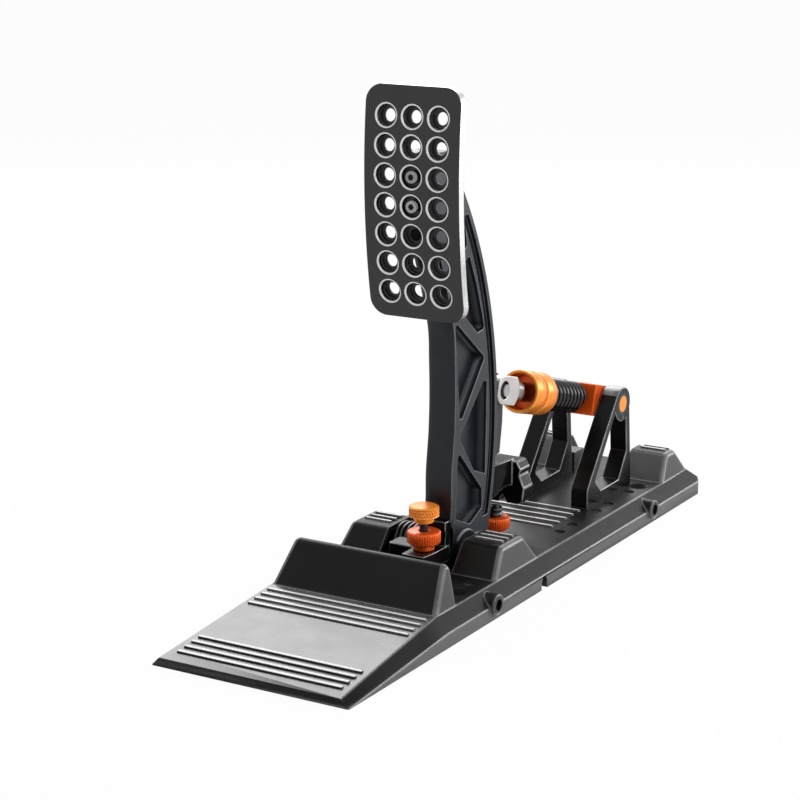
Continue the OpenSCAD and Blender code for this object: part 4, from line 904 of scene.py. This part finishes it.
def stopRows():
    r, h = stop["radius"], stop["height"]
    bore, deep = stop["bore"], stop["boreDepth"]
    return turned([(0, deep), (bore, deep), (bore, 0.0), (r - 0.7, 0.0), (r - 0.2, 0.25), (r, 0.8),
                   (r - 0.12, 1.6), (r - 0.5, 2.1), (r - 0.55, 2.5), (r - 0.2, 3.0), (r, 3.7),
                   (r - 0.05, 4.5), (r - 0.35, 5.1), (r - 0.9, h), (r - 1.5, h), (r - 1.95, h - 0.35),
                   (r - 2.2, h - 1.0), (r - 2.6, h - 1.25), (0.4, h - 1.3), (0, h - 1.3)])


stopPlace = Vector((layout["armX"], layout["rearY"], stop["bottom"])) * mm
lathe("rubber_stop", stopRows(), stop["around"], stopPlace, upright, "rear_stop",
      ["gloss"], ["rear_stop_pad"])

# preload cup and the ring that carries the spring
cupShape = {"start": 34.5, "length": 12.8, "radius": 13.0, "bore": 6.05, "around": 96}
ringShape = {"start": 47.5, "length": 14.6, "radius": 13.0, "bore": 6.05, "around": 96}


def cupRows():
    r, h, b = cupShape["radius"], cupShape["length"], cupShape["bore"]
    shape = [(b, h - 3), (r - 3.0, h - 3), (r - 2.6, h - 3.4), (r - 2.3, 1.0), (r - 2.0, 0.25),
             (r - 1.5, 0.0), (r - 0.9, 0.0), (r - 0.3, 0.25), (r, 0.8), (r, h - 0.9), (r - 0.25, h - 0.35),
             (r - 0.8, h), (b, h), (b, h - 3)]
    # the cup's inside and rear chamfer take the darker orange as painted shade; the rim chamfer takes the
    # lighter orange as painted highlight
    return turned(shape, {0: 1, 1: 1, 2: 1, 3: 1, 4: 1, 7: 2, 8: 2, 10: 1, 11: 1})


def ringRows():
    r, h, b = ringShape["radius"], ringShape["length"], ringShape["bore"]
    shape = [(b, 0.0), (r - 2.2, 0.0), (r - 2.2, 1.6), (r - 1.0, 1.7), (r - 0.3, 2.0), (r, 2.7),
             (r, h - 1.6), (r - 0.3, h - 0.8), (r - 1.2, h), (b, h), (b, 0.0)]
    # the narrow neck takes the darker orange as painted shade in the groove; the chamfers take the lighter
    # orange as painted highlight
    return turned(shape, {2: 1, 3: 1, 4: 2, 5: 2, 7: 2, 8: 2})


preloads = (
    ("preload_sleeve", cupShape, cupRows(), "cup", "preload_cup"),
    ("preload_collar", ringShape, ringRows(), "ring", "preload_ring"),
)
for label, shape, rows, body, node in preloads:
    lathe(label, rows, shape["around"], onStrut(shape["start"]), alongStrut, body,
          ["orange", "redOrange", "orangeHighlight"], [node])
print("turned pieces done")


# springs: round wire swept along the coil, thinner at its ends
winding = {"ends": (0.72, 0.93), "sides": 14, "sharp": 50}


def sweep(name, path, wire, body, materials, replaced):
    sides, thinner = winding["sides"], winding["ends"]
    bm = bmesh.new()
    rings = []
    for i, point in enumerate(path):
        ahead = path[min(i + 1, len(path) - 1)]
        behind = path[max(i - 1, 0)]
        tangent = (ahead - behind).normalized()
        if rings:
            side = (side - tangent * side.dot(tangent)).normalized()
        else:
            across = Vector((1, 0, 0)) if abs(tangent.x) < 0.8 else Vector((0, 1, 0))
            side = tangent.cross(across).normalized()
        up = tangent.cross(side)
        fromEnd = min(i, len(path) - 1 - i)
        r = wire / 2 * (thinner[fromEnd] if fromEnd < len(thinner) else 1.0)
        ring = []
        for k in range(sides):
            a = 2 * math.pi * k / sides
            ring.append(bm.verts.new((point + (side * math.cos(a) + up * math.sin(a)) * r) * mm))
        rings.append(ring)
    for low, high in zip(rings, rings[1:]):
        for k in range(sides):
            face = bm.faces.new((low[k], low[(k + 1) % sides], high[(k + 1) % sides], high[k]))
            face.smooth = True
    bm.faces.new(rings[0])
    bm.faces.new(list(reversed(rings[-1])))
    bmesh.ops.recalc_face_normals(bm, faces=bm.faces[:])
    mesh = bpy.data.meshes.new(name)
    bm.to_mesh(mesh)
    bm.free()
    mesh.set_sharp_from_angle(angle=math.radians(winding["sharp"]))
    piece = newPiece(name, mesh, materials, body)
    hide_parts(*replaced)
    return piece


mainSpring = {
    "start": 62.1, "end": 110.7, "meanRadius": 8.75, "wire": 2.5, "turns": 9, "steps": 40,
    "clear": 0.3, "travel": 19.2,
}


def mainSpringPath():
    m = mainSpring
    low = m["start"] + m["clear"] + m["wire"] / 2
    high = m["end"] - m["clear"] - m["wire"] / 2
    first = alongStrut @ Vector((1, 0, 0))
    second = alongStrut @ Vector((0, 1, 0))
    path = []
    total = m["turns"] * m["steps"]
    for i in range(total + 1):
        a = 2 * math.pi * i / m["steps"]
        s = low + (high - low) * i / total
        path.append(onStrut(s) / mm + (first * math.cos(a) + second * math.sin(a)) * m["meanRadius"])
    return path


coil = sweep("main_coil", mainSpringPath(), mainSpring["wire"], "trunnion", ["gloss"],
             ["main_spring"])
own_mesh(coil)

returnSpring = {
    "right": -2.9, "meanRadius": 12.2, "wire": 2.4, "pitch": 3.1, "turns": 6.25, "steps": 40,
    "fixedLeg": 9.0, "freeLeg": 24.0, "stiffEnd": 1.5,
}
returnSpring["left"] = returnSpring["right"] - returnSpring["pitch"] * returnSpring["turns"]


def returnSpringPath():
    m = returnSpring
    y, z = layout["pivot"]
    total = round(m["turns"] * m["steps"])

    def at(i):
        a = 2 * math.pi * i / m["steps"]
        x = m["left"] + m["pitch"] * i / m["steps"]
        return Vector((x, y + m["meanRadius"] * math.cos(a), z + m["meanRadius"] * math.sin(a)))

    path = [at(i) for i in range(total + 1)]
    out = (path[0] - path[1]).normalized()
    free = (path[-1] - path[-2]).normalized()
    head = [path[0] + out * m["fixedLeg"] * t for t in (1.0, 0.96, 0.5)]
    tail = [path[-1] + free * m["freeLeg"] * t for t in (0.35, 0.7, 0.985, 1.0)]
    return head + path + tail


spring = sweep("return_coil", returnSpringPath(), returnSpring["wire"], None, ["gloss"],
               ["return_spring"])
pivotPlace = [value * mm for value in layout["pivot"]]
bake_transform(spring, "base", "pedal",
         start=(returnSpring["left"] * mm, *pivotPlace),
         end=((returnSpring["right"] - returnSpring["stiffEnd"]) * mm, *pivotPlace))
print("springs done")

# CAD pieces that stay as they are and take a finish
plainPieces = {
    "darkSteel": ["a_frame_screws", "toe_screws", "stop_block_screws", "front_stud", "rear_stop_stud",
                  "rod_end_nut", "cap_screws", "clevis_nut", "side_inserts"],
    "greySteel": ["clevis_bolt"],
    "rodSteel": ["spring_rod", "pivot_axle", "axle_spacer", "sensor_magnet"],
    "rubber": ["pin_bushes", "guide_bush", "spring_mandrel"],
    "moulded": ["axle_caps"],
    "bronze": ["arm_bushes"],
    "board": ["sensor_board"],
    "orange": ["trunnion_pins"],
}
for key, names in plainPieces.items():
    for name in names:
        mesh = nodes[name].data
        mesh.materials.clear()
        mesh.materials.append(finishes[key])

# floor, sky and lamps
stage = {
    "size": 24.0, "floorColour": (0.86, 0.86, 0.86), "glow": 0.96, "whiteness": 1.0, "ambient": 0.42,
}


def seenWhite(tree):
    # rays from the camera, or by way of metal and glass
    path = tree.nodes.new("ShaderNodeLightPath")
    seen = mathNode(tree, "MAXIMUM", path.outputs["Is Camera Ray"], path.outputs["Is Glossy Ray"])
    return mathNode(tree, "MAXIMUM", seen, path.outputs["Is Transmission Ray"])


def makeFloor():
    half = stage["size"] / 2
    mesh = bpy.data.meshes.new("floor")
    corners = [(-half, -half, 0), (half, -half, 0), (half, half, 0), (-half, half, 0)]
    mesh.from_pydata(corners, [], [(0, 1, 2, 3)])
    floor = bpy.data.objects.new("floor", mesh)
    scene.collection.objects.link(floor)
    material = bpy.data.materials.new("paleFloor")
    material.use_nodes = True
    tree = material.node_tree
    tree.nodes.clear()
    out = tree.nodes.new("ShaderNodeOutputMaterial")
    matt = addNode(tree, "ShaderNodeBsdfDiffuse")
    matt.inputs["Color"].default_value = (*stage["floorColour"], 1)
    glow = addNode(tree, "ShaderNodeEmission", Strength=stage["whiteness"])
    share = mathNode(tree, "MULTIPLY", seenWhite(tree), stage["glow"])
    mix = tree.nodes.new("ShaderNodeMixShader")
    tree.links.new(share, mix.inputs[0])
    tree.links.new(matt.outputs[0], mix.inputs[1])
    tree.links.new(glow.outputs[0], mix.inputs[2])
    tree.links.new(mix.outputs[0], out.inputs["Surface"])
    mesh.materials.append(material)


def makeSky():
    world = bpy.data.worlds.new("studio")
    scene.world = world
    world.use_nodes = True
    tree = world.node_tree
    sky = tree.nodes["Background"]
    sky.inputs["Color"].default_value = (1, 1, 1, 1)
    strength = mathNode(tree, "MULTIPLY_ADD", seenWhite(tree), 1 - stage["ambient"])
    strength.node.inputs[2].default_value = stage["ambient"]
    tree.links.new(strength, sky.inputs["Strength"])


lamps = [
    {"name": "overheadSoftbox", "place": (-0.62, 0.98, 1.0), "aim": (0.0, -0.05, 0.05),
     "size": (1.4, 1.1), "power": 19.0},
    {"name": "rearSoftbox", "place": (0.95, 1.3, 0.4), "aim": (0.0, 0.0, 0.1),
     "size": (0.9, 0.6), "power": 12.0},
    {"name": "sideSoftbox", "place": (1.3, 0.12, 0.85), "aim": (0.0, 0.0, 0.1),
     "size": (1.0, 0.9), "power": 8.5},
]


def makeLamp(lamp):
    data = bpy.data.lights.new(lamp["name"], "AREA")
    data.shape = "RECTANGLE"
    data.size, data.size_y = lamp["size"]
    data.energy = lamp["power"]
    light = bpy.data.objects.new(lamp["name"], data)
    scene.collection.objects.link(light)
    light.visible_camera = False
    light.location = lamp["place"]
    light.rotation_euler = (Vector(lamp["aim"]) - Vector(lamp["place"])).to_track_quat("-Z", "Y").to_euler()


makeFloor()
makeSky()
for lamp in lamps:
    makeLamp(lamp)
print("stage done")
